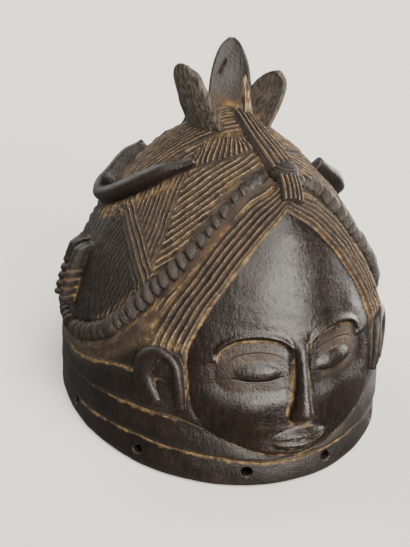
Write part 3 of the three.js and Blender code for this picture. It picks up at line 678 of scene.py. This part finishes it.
rows, columns = len(heights), len(turns)
low_rows = int(np.searchsorted(heights, CROWN_HEIGHT))
index = np.arange(rows * columns).reshape(rows, columns)
crown = index[low_rows:, ::2]
pole = rows * columns
shell_faces = cut_in_two(np.concatenate([band_quads(index[:low_rows]), band_quads(crown)]), lift)
shell_faces += stitch(index[low_rows - 1], crown[0]) + fan(crown[-1], pole).tolist()

# The hollow is hewn with an adze, in rows of shallow scoops.
WALL, INNER_LIP = 11, 3.5
HOLLOW_TOP = 214
INNER_ROWS, INNER_SHARE = 30, 4
SCOOPS_ROUND, SCOOP_LENGTH, SCOOP_DEPTH = 14, 31, 0.9
inner_turns = turns[::INNER_SHARE]
inner_heights = HOLLOW_TOP * np.sin(np.linspace(0, 0.5 * np.pi, INNER_ROWS)[:-1])
hollow_turn, hollow_height, hollow_points, hollow_normals = dome_grid(inner_turns, inner_heights)
scoops = np.sin(hollow_turn * SCOOPS_ROUND + 0.5 * np.sin(hollow_height / 9))
scoops = np.abs(scoops * np.sin(np.pi * hollow_height / SCOOP_LENGTH))
inward = WALL - SCOOP_DEPTH * scoops + 0.3 * wander(hollow_points, 30, 8)
inside = hollow_points - hollow_normals * inward[:, None]
inside[:len(inner_turns), 2] = 0
under = bare_points[:columns] - grid_normals[:columns] * INNER_LIP
under[:, 2] = 0
under_ring = pole + 1 + np.arange(columns)
first_inside = pole + 1 + columns
inner_index = first_inside + np.arange(len(inside)).reshape(len(inner_heights), len(inner_turns))
inner_pole = first_inside + len(inside)
inner_top = inner_index[-1]
inner_faces = band_quads(np.stack([index[0], under_ring])).tolist() + stitch(under_ring, inner_index[0])
inner_faces += band_quads(inner_index).tolist() + fan(inner_top, inner_pole).tolist()
shell_faces += [tuple(face[::-1]) for face in inner_faces]
top_point = [[0, 0, outside[crown[-1], 2].mean() + 0.3]]
ceiling = [[0, 0, inside[-len(inner_top):, 2].max() + 0.3]]
shell_points = np.concatenate([outside, top_point, under, inside, ceiling])
carries = {label: np.full((len(shell_points), 3), plain, float) for label, plain in PLAIN.items()}
carries["hair"][:pole] = together(phase, depth, 0)
carries["lips"][:pole] = lips
carries["eyes"][:pole] = face_lines
carries["marks"][:pole] = together(kept(mouth_line, on_face), crack, FAR)
carries["finish"][:pole] = together(dust, polish, 0)
carries["finish"][first_inside:, 2] = 0.5
carries["finish"][pole + 1:first_inside, 2] = 0.4

used = np.unique(np.concatenate([np.ravel(face) for face in shell_faces]))
renumber = np.full(len(shell_points), -1)
renumber[used] = np.arange(len(used))
shell_faces = [[int(renumber[i]) for i in face] for face in shell_faces]
carries = {label: values[used] for label, values in carries.items()}
mask = wooden("helmet_mask_wood", shell_points[used], shell_faces, **carries)


def measured_line(stations, step, side, half=FRONT):
    """A line over the dome in even steps of about the given length: points, normals and distances."""
    rough_points, _ = line_on_dome(stations, 300, side, half)
    length = np.linalg.norm(np.diff(rough_points, axis=0), axis=1).sum()
    count = max(int(round(length / step)) + 1, 3)
    points, normals = line_on_dome(stations, count, side, half)
    return points, normals, np.linspace(0, length, count)


def sweep(line, section, slant=0.0, bow=0.0):
    """A bar along a line: each ring lies across it at (across, out) places, shifted ahead by
    slant u + bow u^2."""
    points, normals, _ = line
    ahead = np.gradient(points, axis=0)
    ahead /= np.linalg.norm(ahead, axis=1, keepdims=True)
    across = np.cross(normals, ahead)
    across /= np.linalg.norm(across, axis=1, keepdims=True)
    u, v = section[..., 0:1], section[..., 1:2]
    rings = points[:, None] + across[:, None] * u + normals[:, None] * v
    return closed(rings + ahead[:, None] * (slant * u + bow * u * u))


parts = []
SKIN_DEPTH = 4.0
HALF_ROUND = np.radians(np.linspace(0, 180, 11))


def carve(name, line, top, feet, slant=0.0, bow=0.0, **carried):
    """One more part, a bar along a line: its section is a top, as (across, out) places, between feet.

    A foot is a half width and a height, from the lowest up, and stands on both sides of the top.
    """
    near = [together(*foot)[:, None] for foot in feet]
    section = np.concatenate([*near, top, *(foot * [-1, 1] for foot in near[::-1])], 1)
    points, faces = sweep(line, section, slant, bow)
    parts.append(wooden(name, points, faces, **carried))


def per_ring(values, ring_size):
    """One value or row a ring as one a point of a closed solid, with its two ends."""
    return np.concatenate([np.repeat(values, ring_size, axis=0), [values[0], values[-1]]])


# The garland braid: a thick rope of overlapping crescents round the whole head, each tucked under the
# one below it. Its front ends, beside the lock, are worn flat, and the next turns are broken to stubs.
BRAID_RADIUS = 7.6
BRAID_PITCH = 8.2
BRAID_SLANT, BRAID_BOW = -0.42, -0.035
BRAID_ROUND = np.radians(np.linspace(-15, 195, 13))
FRONT_STEP, BACK_STEP = 0.85, 1.6
# The wear left and right, by millimetres from the start: shares of width and height, depth of the gaps.
WEAR = {
    -1: ([0, 20, 26, 60, 95, 125], [0.62, 0.56, 0.48, 0.54, 0.80, 1], [0.50, 0.45, 0.62, 0.70, 0.88, 1],
         [0, 0.05, 0.60, 0.56, 0.44, 0.36]),
    1: ([0, 20, 32, 46, 70, 125], [0.66, 0.74, 0.90, 1, 1, 1], [0.55, 0.70, 0.95, 1, 1, 1],
        [0, 0.15, 0.35, 0.40, 0.38, 0.36]),
}
for side, (wear_at, *wear) in WEAR.items():
    for stations, step, half_name in ((FRONT_BRAID, FRONT_STEP, "front"), (BACK_BRAID, BACK_STEP, "back")):
        line = measured_line(stations, step, side)
        turns_done = line[2] / BRAID_PITCH + 0.20 * wander(line[0], 25, 14)
        from_start = line[2] if half_name == "front" else line[2] + wear_at[-1]
        wide, tall, gap_depth = (np.interp(from_start, wear_at, values) for values in wear)
        share = turns_done % 1
        gap = np.maximum(hump(share / 0.20), hump((1 - share) / 0.09))
        swell = 0.80 + 0.20 * ramp(share / 0.8)
        radius = BRAID_RADIUS * (1 + 0.09 * wander(line[0], 11, 11)) * (1 - gap_depth * gap) * swell * wide
        v = (radius * tall / wide ** 0.5)[:, None] * (0.88 * np.sin(BRAID_ROUND)) + 0.4
        top = together(radius[:, None] * np.cos(BRAID_ROUND), v)
        hair_of_braid = per_ring(together(turns_done, ramp(gap_depth, 0.1, 0.2), 0), len(BRAID_ROUND) + 2)
        carve(f"braid_{half_name}_{side}", line, top, [(0.9 * radius, -SKIN_DEPTH)],
              BRAID_SLANT * side, BRAID_BOW, hair=hair_of_braid, finish=(0.16, 0.55, 0))

# The horn bands: a thick rounded lip cut in a U on each side, open towards the crest. The left one
# starts as a low tip, and the right one lies lower on the head and starts nearly at its full rise.
HORN_RISE = 12
HORN_HALF_WIDTH, HORN_FOOT_HALF_WIDTH = 5.3, 6.5
HORNS = {-1: (LEFT_HORN, 0.4), 1: (RIGHT_HORN, 0.8)}
for side, (stations, start_share) in HORNS.items():
    line = measured_line(stations, 2.0, side)
    t = line[2] / line[2][-1]
    rise = HORN_RISE * (start_share + (1 - start_share) * ramp(t / 0.18)) * (0.7 + 0.3 * ramp((1 - t) / 0.1))
    rise = rise + 0.5 * wander(line[0], 20, 12)
    narrow = (0.62 + 0.38 * ramp(t / 0.22)) * (0.8 + 0.2 * ramp((1 - t) / 0.08))
    u = (HORN_HALF_WIDTH * narrow)[:, None] * np.cos(HALF_ROUND)
    v = rise[:, None] * (0.62 + 0.38 * np.sin(HALF_ROUND))
    feet = [(HORN_FOOT_HALF_WIDTH * narrow, -SKIN_DEPTH), (1.06 * HORN_HALF_WIDTH * narrow, 0.2 * rise)]
    carve(f"horn_{side}", line, together(u, v), feet, finish=(0.08, 0.45, 0))

# The fins: a pair of upright blades on each side of the head. The front one is scored across its face,
# and the rear one is notched deeply. Each one's place behind the middle, and how deep its notches are.
FIN_PLACES = ((8, 0.28), (20, 1.0))
FIN_THICKNESS, FIN_RISE = 7.0, 13.0
FIN_LOW, FIN_TOP = 84, 129
NOTCH_PITCH = 6.5
# The blade's section up to its tip, in shares of its half thickness and rise.
FIN_FLANKS, FIN_TIP = ((1.0, 0.3), (0.98, 0.62), (0.8, 0.9)), 0.45
for side in (-1, 1):
    for place, bite in FIN_PLACES:
        z = np.linspace(FIN_LOW, FIN_TOP, 70)
        at_root = together(side * through(PROFILE[:, 0], PROFILE[:, 1], z), place, z)
        line = at_root, together(side + 0 * z, 0, 0), z
        notched = ramp((FIN_TOP - 12 - z) / 3)
        cut = (1 - np.abs(np.sin(np.pi * (z - FIN_LOW) / NOTCH_PITCH))) ** 2 * notched * bite
        end = ramp(z, FIN_LOW, 3) * ramp((FIN_TOP - z) / 3)
        rise = (FIN_RISE - 3.5 * (1 - end)) * (1 - 0.2 * cut)
        half_width = 0.5 * FIN_THICKNESS * (1 - 0.34 * cut)
        top = together(half_width[:, None] * [FIN_TIP, -FIN_TIP], rise[:, None])
        feet = [(half_width, -SKIN_DEPTH - 2)] + [(a * half_width, b * rise) for a, b in FIN_FLANKS]
        dusty = per_ring(0.06 + 0.6 * ramp(1.6 * cut / bite), 2 * len(feet) + 2)
        carve(f"fin_{side}_{place}", line, top, feet, finish=together(dusty, 0.3, 0))

# The ears: an arch over a hollow, with a narrow arm in front and a broad smooth flap behind.
EAR_ARCH = [[55, 56], [54, 76], [52, 89], [47, 92], [43, 85], [42, 74], [44, 62], [47, 55]]
EAR_RISE = 8.0
for half in (FRONT, BACK):
    for side in (-1, 1):
        line = measured_line(EAR_ARCH, 1.6, side, half)
        t = line[2] / line[2][-1]
        rise = EAR_RISE * (0.55 + 0.45 * np.sin(np.pi * t))
        wide = 3.4 + 3.8 * ramp(t, 0.4, 0.25) * ramp((1.1 - t) / 0.2)
        v = rise[:, None] * (0.35 + 0.65 * np.sin(HALF_ROUND) ** 0.7)
        top = together(wide[:, None] * np.cos(HALF_ROUND), v)
        carve(f"ear_{half}_{side}", line, top, [(1.1 * wide, -SKIN_DEPTH)], finish=(0.0, 0.5, 0))

# The lock: a ridged band that hangs from the crest over each forehead, tied in a knot with a tassel.
# The front one has five ridges and lies a little to the right, and the back one has three.
LOCK = [[88, 220], [87, 213], [85, 206], [84, 199]]
BACK_LOCK = [[87, 212], [85, 206], [84, 199]]
TASSEL = [[84, 199], [85, 193], [87.5, 185]]
LOCK_RISE, POINTS_A_RIDGE = 8.0, 6
KNOT_ANGLE, KNOT_HEIGHT, KNOT_RADIUS = 84.0, 198.0, 11.0


def ridged_bar(name, stations, side, half, ridges, wide_from, wide_to):
    """A flat bar with rounded ridges along it: its top is |sin|^0.7 of the share across."""
    line = measured_line(stations, 1.4, side, half)
    t = line[2] / line[2][-1]
    wide = wide_from + (wide_to - wide_from) * t
    share = np.linspace(0, 1, ridges * POINTS_A_RIDGE + 1)
    v = LOCK_RISE * (0.75 + 0.25 * np.sin(np.pi * share) - 0.18 * (1 - sharp_ridge(share * ridges)))
    section_hair = np.full((len(share) + 2, 3), PLAIN["hair"])
    section_hair[1:-1] = together(share * ridges, 1, 0)
    hair_of_bar = np.concatenate([np.tile(section_hair, (len(t), 1)), [PLAIN["hair"]] * 2])
    top = together(wide[:, None] * (1 - 2 * share), v)
    carve(name, line, top, [(wide, -SKIN_DEPTH)], hair=hair_of_bar, finish=(0.32, 0.2, 0))


for half, stations, ridges in ((FRONT, LOCK, 5), (BACK, BACK_LOCK, 3)):
    side = -half
    ridged_bar(f"lock_{half}", stations, side, half, ridges, 5.0, 10.5)
    ridged_bar(f"tassel_{half}", TASSEL, side, half, 5, 7.5, 7.5)
    knot_turn, knot_height = turn_of(side, half, np.array([KNOT_ANGLE])), np.array([KNOT_HEIGHT])
    centre = dome_point(knot_turn, knot_height)[0] + dome_normal(knot_turn, knot_height)[0]
    lat = np.linspace(-0.5 * np.pi, 0.5 * np.pi, 30)[1:-1]
    lon = np.linspace(0, 2 * np.pi, 40, endpoint=False)
    lon, lat = np.meshgrid(lon, lat)
    rib_phase = 4.2 * np.sin(lat) + 0.9 * np.cos(lon)
    ribs = 1 - 0.10 * (1 - sharp_ridge(rib_phase))
    ball = together(np.cos(lat) * np.cos(lon), 0.85 * np.cos(lat) * np.sin(lon), 0.75 * np.sin(lat))
    points, faces = closed(centre + KNOT_RADIUS * ribs[..., None] * ball)
    hair_of_knot = together(np.concatenate([rib_phase.ravel(), [0.5, 0.5]]), 0.9, 0)
    parts.append(wooden(f"knot_{half}", points, faces, hair=hair_of_knot, finish=(0.15, 0.3, 0)))

# The crest: thick keeled petals lean out round the top, dished on their inner sides. The front one has
# split away and left a thin rough splinter of bare wood. Each one's turn, tip, reach, half width, slide
# across, bluntness, place of its keel, dust, a share of pale grey wood colour that is a painted sheen,
# and the drying crack in its dish: place across, from and to upwards.
CREST = (-4.0, -3.0)
PETAL_FOOT, PETAL_FOOT_RADIUS = 203.0, 9.0
PETAL_RIM, PETAL_KEEL, PETAL_DISH = 5.0, 5.4, 3.0
PETAL_POLISH = 0.25
PETALS = [
    (197, 257, 38.6, 19.8, -6.3, 4.1, 0.3, 0.26, 0.24, (0.0, 2.0, 2.0)),
    (69, 264, 38, 16.1, -2.1, 3, 0, 0.12, 0.0, (0.5, 0.55, 0.8)),
    (14.5, 246, 40.8, 18, -6, 4.8, 0, 0.28, 0.20, (0.1, 0.2, 0.26)),
]
for number, (turn, tip, reach, half_width, slide, blunt, keel_at, dust, bare_and_sheen, crack) in enumerate(PETALS):
    t = np.sin(np.linspace(0, 0.5 * np.pi, 46))
    share = np.sqrt(np.maximum(0.03, 1 - t ** blunt))
    radius = PETAL_FOOT_RADIUS + (reach - PETAL_RIM - PETAL_FOOT_RADIUS) * t
    keel = PETAL_KEEL * (1 - 0.6 * t) * np.minimum(1, share + 0.2)
    dish = PETAL_DISH * share
    u_in = np.linspace(-1, 1, 25)
    from_crack = (u_in - crack[0] - 0.12 * np.sin(14 * t)[:, None]) * (half_width * share)[:, None]
    crack_share = between(t, *crack[1:], 0.06)[:, None]
    inner = dish[:, None] * (1 - u_in ** 2) ** 0.8 + 1.6 * hump(from_crack) * crack_share
    u_out = np.linspace(1, -1, 17)
    flank = np.abs(u_out - keel_at) / (1 - np.sign(u_out - keel_at) * keel_at)
    outer = PETAL_RIM + keel[:, None] * np.clip(1 - flank, 0, 1) ** 1.15 + 0 * u_out
    at_edge_in, at_edge_out = np.abs(u_in) > 0.99, np.abs(u_out) > 0.99
    out = np.concatenate([inner + 0.25 * PETAL_RIM * at_edge_in, outer - 0.35 * PETAL_RIM * at_edge_out], 1)
    u = np.concatenate([u_in, u_out])[None] * half_width * share[:, None]
    z = (PETAL_FOOT + (tip - PETAL_FOOT) * t)[:, None] + 0 * u
    spin = math.radians(turn)
    local_x, local_y = radius[:, None] + out, u + slide
    x = CREST[0] + local_x * math.cos(spin) - local_y * math.sin(spin)
    y = CREST[1] + local_x * math.sin(spin) + local_y * math.cos(spin)
    rings = together(x, y, z)
    rings = rings + 0.35 * wander(rings.reshape(-1, 3), 16, 20 + number).reshape(*rings.shape[:2], 1)
    points, faces = closed(rings)
    is_inner = np.arange(len(u_in) + len(u_out)) < len(u_in)
    foot_dust = dust + np.where(is_inner, 0.6 * ramp((234 - z) / 24), 0.4 * ramp((214 - z) / 8))
    dusty = np.concatenate([foot_dust.ravel(), [0, 0]])
    split = np.concatenate([kept(from_crack, crack_share), np.full((len(t), len(u_out)), FAR)], 1)
    marks = together(FAR, FAR, np.concatenate([split.ravel(), [FAR, FAR]]))
    finish = together(dusty, PETAL_POLISH, bare_and_sheen)
    parts.append(wooden(f"petal_{number}", points, faces, marks=marks, finish=finish))

# The splinter: height, place across and in depth, half width and half depth.
SPLINTER = np.array([
    (204, 2, -19, 10, 6.5), (218, 3, -19, 6.2, 5), (228, 2, -18, 3.2, 4.2), (238, 0.5, -19, 2.1, 3),
    (249, -2, -20, 0.9, 1.4),
], float)
z = np.linspace(SPLINTER[0, 0], SPLINTER[-1, 0], 40)
middle = through(SPLINTER[:, 0], SPLINTER[:, 1:], z)
phi = np.linspace(0, 2 * np.pi, 20, endpoint=False)
fibres = 1 + 0.20 * np.sin(5 * phi + 0.4) + 0.14 * np.sin(9 * phi + 2)
x = middle[:, 0:1] + middle[:, 2:3] * np.cos(phi) * fibres
y = middle[:, 1:2] + middle[:, 3:4] * np.sin(phi) * fibres
rings = together(x, y, z[:, None] + 2.5 * np.cos(phi) * (z[:, None] > 225))
rings = rings + 0.5 * wander(rings.reshape(-1, 3), 7, 31).reshape(*rings.shape[:2], 1)
points, faces = closed(rings)
bare_and_sheen = ramp(points[:, 2], 208, 12)
parts.append(wooden("splinter", points, faces, finish=together(0.5, 0, 0.9 * bare_and_sheen)))

# The rim holes: bored through the wall for the costume, a little uneven.
HOLE_TURNS = (-173, -139, -105, -80, -53, -18, 16, 50, 84, 118, 152)
HOLE_RADIUS, HOLE_HEIGHT = 3.75, 13.0
drills = []
for number, turn in enumerate(HOLE_TURNS):
    turn = np.radians(turn)
    place = dome_point(np.array([turn]), np.array([HOLE_HEIGHT]))[0]
    outward = np.array([math.cos(turn), math.sin(turn), 0])
    sideways = np.array([-math.sin(turn), math.cos(turn), 0])
    phi = np.linspace(0, 2 * np.pi, 22, endpoint=False)
    stops = np.array([-30, -9, 1.5, 4.5, 30.0])[:, None, None]
    flare = np.array([1, 1, 1, 1.12, 1.12])[:, None, None]
    uneven = 1 + 0.05 * np.sin(2 * phi + number)
    ring = together(np.cos(phi), np.sin(phi)) * HOLE_RADIUS * uneven[:, None]
    across = ring[None, :, 0:1] * sideways + ring[None, :, 1:2] * np.array([0, 0, 1])
    points, faces = closed(place + stops * outward + flare * across)
    drills.append(wooden(f"drill_{number}", points, faces))

# All the forms are joined to the shell and the holes are cut, so that the mask is one piece of wood.
for operation, things in (("UNION", parts), ("DIFFERENCE", drills)):
    for thing in things:
        join = mask.modifiers.new(thing.name, "BOOLEAN")
        join.operation = operation
        join.solver = "MANIFOLD"
        join.object = thing
whole = bpy.data.meshes.new_from_object(mask.evaluated_get(bpy.context.evaluated_depsgraph_get()))
mask.modifiers.clear()
mask.data = whole
for thing in parts + drills:
    bpy.data.objects.remove(thing)

# Hands have polished the high places, which get a painted sheen, and dust and old oil have settled in the
# low ones.
# Each point is compared with its neighbours' average, over a few and over many rounds of smoothing.
FEW_ROUNDS, MANY_ROUNDS = 4, 30
SMALL_HOLLOW, WIDE_HOLLOW = 0.35, 1.2


def read(collection, name, width, kind=float):
    """One property of each item of a collection, as rows of numbers."""
    values = np.empty(len(collection) * width, kind)
    collection.foreach_get(name, values)
    return values.reshape(-1, width)


count = len(whole.vertices)
points = read(whole.vertices, "co", 3) / MM
normals = read(whole.vertices, "normal", 3)
ends = read(whole.edges, "vertices", 2, np.int64)
near, far = ends.T
neighbours = np.bincount(ends.ravel(), minlength=count)[:, None]
smoothed = points.copy()
hollows = []
for round_number in range(1, MANY_ROUNDS + 1):
    total = [
        np.bincount(near, smoothed[far, k], count) + np.bincount(far, smoothed[near, k], count)
        for k in range(3)
    ]
    smoothed = 0.5 * smoothed + 0.5 * np.stack(total, -1) / neighbours
    if round_number in (FEW_ROUNDS, MANY_ROUNDS):
        hollows.append(((smoothed - points) * normals).sum(-1))
small, wide = (np.clip(hollow / deep, -1, 1) for hollow, deep in zip(hollows, (SMALL_HOLLOW, WIDE_HOLLOW)))
layer = whole.attributes.new("wear", "FLOAT_VECTOR", "POINT")
layer.data.foreach_set("vector", together(small, wide, 0).astype(np.float32).ravel())
whole.shade_smooth()

# Its finish: hardwood blackened with leaf dye and palm oil, near black and glossy where hands polish
# it, brown in the cut hair, and ochre where dust has settled. IOR 1.45, as of an oily skin on wood.
wood = new_material("blackened_oiled_wood")
ATTRIBUTE, PARTED, MATH = "ShaderNodeAttribute", "ShaderNodeSeparateXYZ", "ShaderNodeMath"
RANGE, BLEND, NOISE = "ShaderNodeMapRange", "ShaderNodeMix", "ShaderNodeTexNoise"
SMOOTH = {"interpolation_type": "SMOOTHSTEP"}
COLOUR = {"data_type": "RGBA", "give": 2}
place = add(wood, "ShaderNodeTexCoord", give=3)
carried = {}
for label in (*PLAIN, "wear"):
    vector = add(wood, ATTRIBUTE, give=1, attribute_name=label)
    carried[label] = [add(wood, PARTED, [vector], give=k) for k in range(3)]
ridge_phase, ridge_depth, _ = carried["hair"]
dust_share, polish_share, bare_and_sheen_share = carried["finish"]
small_hollow, wide_hollow, _ = carried["wear"]

# Noise by its grain in millimetres, detail and roughness; the wood's own grain is drawn out upwards.
drawn_out = add(wood, "ShaderNodeMapping", {"Vector": place, "Scale": (1.0, 1.0, 0.16)})
grain, blotch, fine, speck, patch = [
    add(wood, NOISE, {"Vector": where, "Scale": 1000 / grain_mm, "Detail": detail, "Roughness": harsh})
    for where, grain_mm, detail, harsh in (
        (drawn_out, 1.8, 3.0, 0.6), (place, 30, 3.0, 0.55), (place, 4, 5.0, 0.65), (place, 1.1, 2.0, 0.5),
        (place, 11, 4.0, 0.6),
    )
]

# Valleys and crests of the cut hair, from the ridge phase, which is whole in a valley. Valleys are painted
# near black as painted shade, and crests pale tan as a painted highlight.
from_valley = add(wood, MATH, [ridge_phase, 0.5], operation="PINGPONG")
in_valley = add(wood, RANGE, [from_valley, 0.0, 0.15, 1.0, 0.0], **SMOOTH)
valley = add(wood, MATH, [in_valley, ridge_depth], operation="MULTIPLY")
on_crest = add(wood, RANGE, [from_valley, 0.28, 0.48, 0.0, 1.0], **SMOOTH)
crest = add(wood, MATH, [on_crest, ridge_depth], operation="MULTIPLY")

# Knife lines, painted dark as the shade inside each cut: a signed distance in millimetres, half the line's
# width, and how dark it is.
dark_line = 0.0
for distance, half_width, strength in (
    (carried["eyes"][2], 1.3, 1.0), (carried["marks"][0], 0.9, 1.0), (carried["marks"][1], 0.45, 1.0),
    (carried["marks"][2], 0.8, 1.0), (carried["eyes"][1], 0.8, 0.7), (carried["eyes"][0], 0.9, 0.7),
):
    away = add(wood, MATH, [distance], operation="ABSOLUTE")
    drawn = add(wood, RANGE, [away, 0.3 * half_width, half_width, strength, 0.0], **SMOOTH)
    dark_line = add(wood, MATH, [drawn, dark_line], operation="MAXIMUM")

# The neck rolls by the height over each lower lip: painted shade in the undercut, dust on the shelf, and a
# painted highlight along the lip.
neck_marks = []
for low, low_soft, high, high_soft in (
    (-1.6, -0.7, -0.3, 0.2), (-7.0, -0.6, -0.4, 0.1), (-0.2, 0.3, 0.6, 2.0),
):
    mark = 0.0
    for over_lip in carried["lips"]:
        above_low = add(wood, RANGE, [over_lip, low, low_soft, 0.0, 1.0], **SMOOTH)
        below_high = add(wood, RANGE, [over_lip, high, high_soft, 1.0, 0.0], **SMOOTH)
        both = add(wood, MATH, [above_low, below_high], operation="MULTIPLY")
        mark = add(wood, MATH, [both, mark], operation="MAXIMUM")
    neck_marks.append(mark)
undercut_shade, shelf, lip_highlight = neck_marks

# Dust lies where the surface is hollow, where the carving says so, and in loose patches.
less_on_hair = add(wood, RANGE, [ridge_depth, 0.0, 1.0, 0.6, 0.15], **SMOOTH)
hollow_either = add(wood, MATH, [small_hollow, wide_hollow], operation="MAXIMUM")
settled = add(wood, MATH, [hollow_either, less_on_hair], operation="MULTIPLY")
for value, less, share in (
    (dust_share, 0.0, 0.72), (shelf, 0.0, 0.28), (fine, 0.5, 0.5), (blotch, 0.5, 0.8), (patch, 0.5, 0.9),
):
    value = add(wood, MATH, [value, less], operation="SUBTRACT")
    settled = add(wood, MATH, [value, share, settled], operation="MULTIPLY_ADD")
dusted = add(wood, RANGE, [settled, 0.32, 1.0, 0.0, 1.0], **SMOOTH)

# The tones of the wood, dark and pale, and which noise mixes them: blackened skin, oiled cut hair,
# settled dust, the bare wood of the hollow, which also gives the petals a painted grey sheen, and the
# broken wood of the splinter.
tones = []
for dark, pale, mottle, low, high in (
    ("#0e0906", "#1a110b", blotch, 0.35, 0.7), ("#231910", "#4a3826", patch, 0.3, 0.7),
    ("#4a371e", "#7d6440", fine, 0.35, 0.65), ("#2a251f", "#5c554c", grain, 0.4, 0.65),
    ("#3c2c1e", "#8a775d", grain, 0.4, 0.62),
):
    share = add(wood, RANGE, [mottle, low, high, 0.0, 1.0], **SMOOTH)
    tones.append(add(wood, BLEND, {0: share, 6: linear(dark), 7: linear(pale)}, **COLOUR))
black_skin, brown_skin, ochre_dust, inner_wood_and_sheen, broken_wood = tones

# One layer over another: what shows it, from and to which value, how much of it, and its colour.
# Painted highlight: pale tan on the crests of the dusty cut hair, broken up by noise.
crest_highlight = add(wood, RANGE, [dust_share, 0.08, 0.45, 0.0, 1.0], **SMOOTH)
unbroken = add(wood, RANGE, [fine, 0.34, 0.56, 0.3, 1.0], **SMOOTH)
ungritty = add(wood, RANGE, [speck, 0.36, 0.58, 0.35, 1.0], **SMOOTH)
for value in (crest, unbroken, ungritty):
    crest_highlight = add(wood, MATH, [crest_highlight, value], operation="MULTIPLY")
skin = black_skin
for value, low, high, most, colour in (
    (grain, 0.45, 0.7, 0.35, "#2b221d"),
    (dust_share, 0.08, 0.40, 0.9, brown_skin),
    (grain, 0.47, 0.32, 0.6, "#120c08"),
    (dusted, 0.0, 1.0, 0.85, ochre_dust),
    # Painted sheen: a paler grey on the high places that hands have polished.
    (small_hollow, -0.15, -0.8, 0.11, "#453c35"),
    # Painted highlight on the crests of the cut hair.
    (crest_highlight, 0.0, 1.0, 0.9, "#8d7c63"),
    # Painted highlight: pale tan along the lower lip of each neck roll.
    (lip_highlight, 0.0, 1.0, 0.28, "#6d583e"),
    # Painted shade: near black in the valleys of the cut hair and between the braid's turns.
    (valley, 0.0, 1.0, 0.62, "#0c0806"),
    # Painted shade: near black in the undercut below each neck roll's lip.
    (undercut_shade, 0.0, 1.0, 0.6, "#0a0705"),
    # Painted shade: near black along the knife lines of the eyes, the mouth and the cracks.
    (dark_line, 0.0, 1.0, 0.88, "#0a0705"),
    # Painted sheen: a share of pale grey wood colour on the petals; the hollow and the rim take it fully as
    # bare wood.
    (bare_and_sheen_share, 0.05, 0.35, 1.0, inner_wood_and_sheen),
    (bare_and_sheen_share, 0.55, 0.95, 1.0, broken_wood),
):
    share = add(wood, RANGE, [value, low, high, 0.0, most], **SMOOTH)
    colour = linear(colour) if isinstance(colour, str) else colour
    skin = add(wood, BLEND, {0: share, 6: skin, 7: colour}, **COLOUR)

# Dust, cut valleys, bare wood and hair are duller than the polished skin.
rough = add(wood, RANGE, [polish_share, 0.1, 0.9, 0.42, 0.22], **SMOOTH)
for value, low, high, most in (
    (dusted, 0.0, 0.8, 0.35), (valley, 0.0, 1.0, 0.3), (bare_and_sheen_share, 0.0, 1.0, 0.45),
    (dust_share, 0.05, 0.4, 0.24), (ridge_depth, 0.2, 1.0, 0.12), (fine, 0.3, 0.7, 0.08),
):
    more = add(wood, RANGE, [value, low, high, 0.0, most], **SMOOTH)
    rough = add(wood, MATH, [rough, more], operation="ADD")
rough = add(wood, MATH, [rough, 0.95], operation="MINIMUM")

# The relief that is finer than the mesh: knife marks in the hair, pores and small dents in the skin.
# Real pores are finer than 0.3 mm. They are drawn at about 1 mm, so that they show.
less_polished = add(wood, RANGE, [polish_share, 0.2, 0.9, 1.0, 0.7], **SMOOTH)
relief = 0.0
for value, share in ((fine, 0.6), (speck, 0.45), (grain, 0.4)):
    value = add(wood, MATH, [value, 0.5], operation="SUBTRACT")
    value = add(wood, MATH, [value, less_polished], operation="MULTIPLY")
    relief = add(wood, MATH, [value, share, relief], operation="MULTIPLY_ADD")
grit = add(wood, MATH, [speck, ridge_depth], operation="MULTIPLY")
for value, share in ((grit, 0.7), (valley, -0.8), (dark_line, -0.6)):
    relief = add(wood, MATH, [value, share, relief], operation="MULTIPLY_ADD")
bump = add(wood, "ShaderNodeBump", {"Height": relief, "Strength": 0.8, "Distance": 0.0010})
shader = add(wood, "ShaderNodeBsdfPrincipled", {
    "Base Color": skin, "Roughness": rough, "IOR": 1.45, "Normal": bump,
})
add(wood, "ShaderNodeOutputMaterial", {"Surface": shader})
whole.materials.clear()
whole.materials.append(wood)
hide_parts("helmet_mask")
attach(mask, "root")
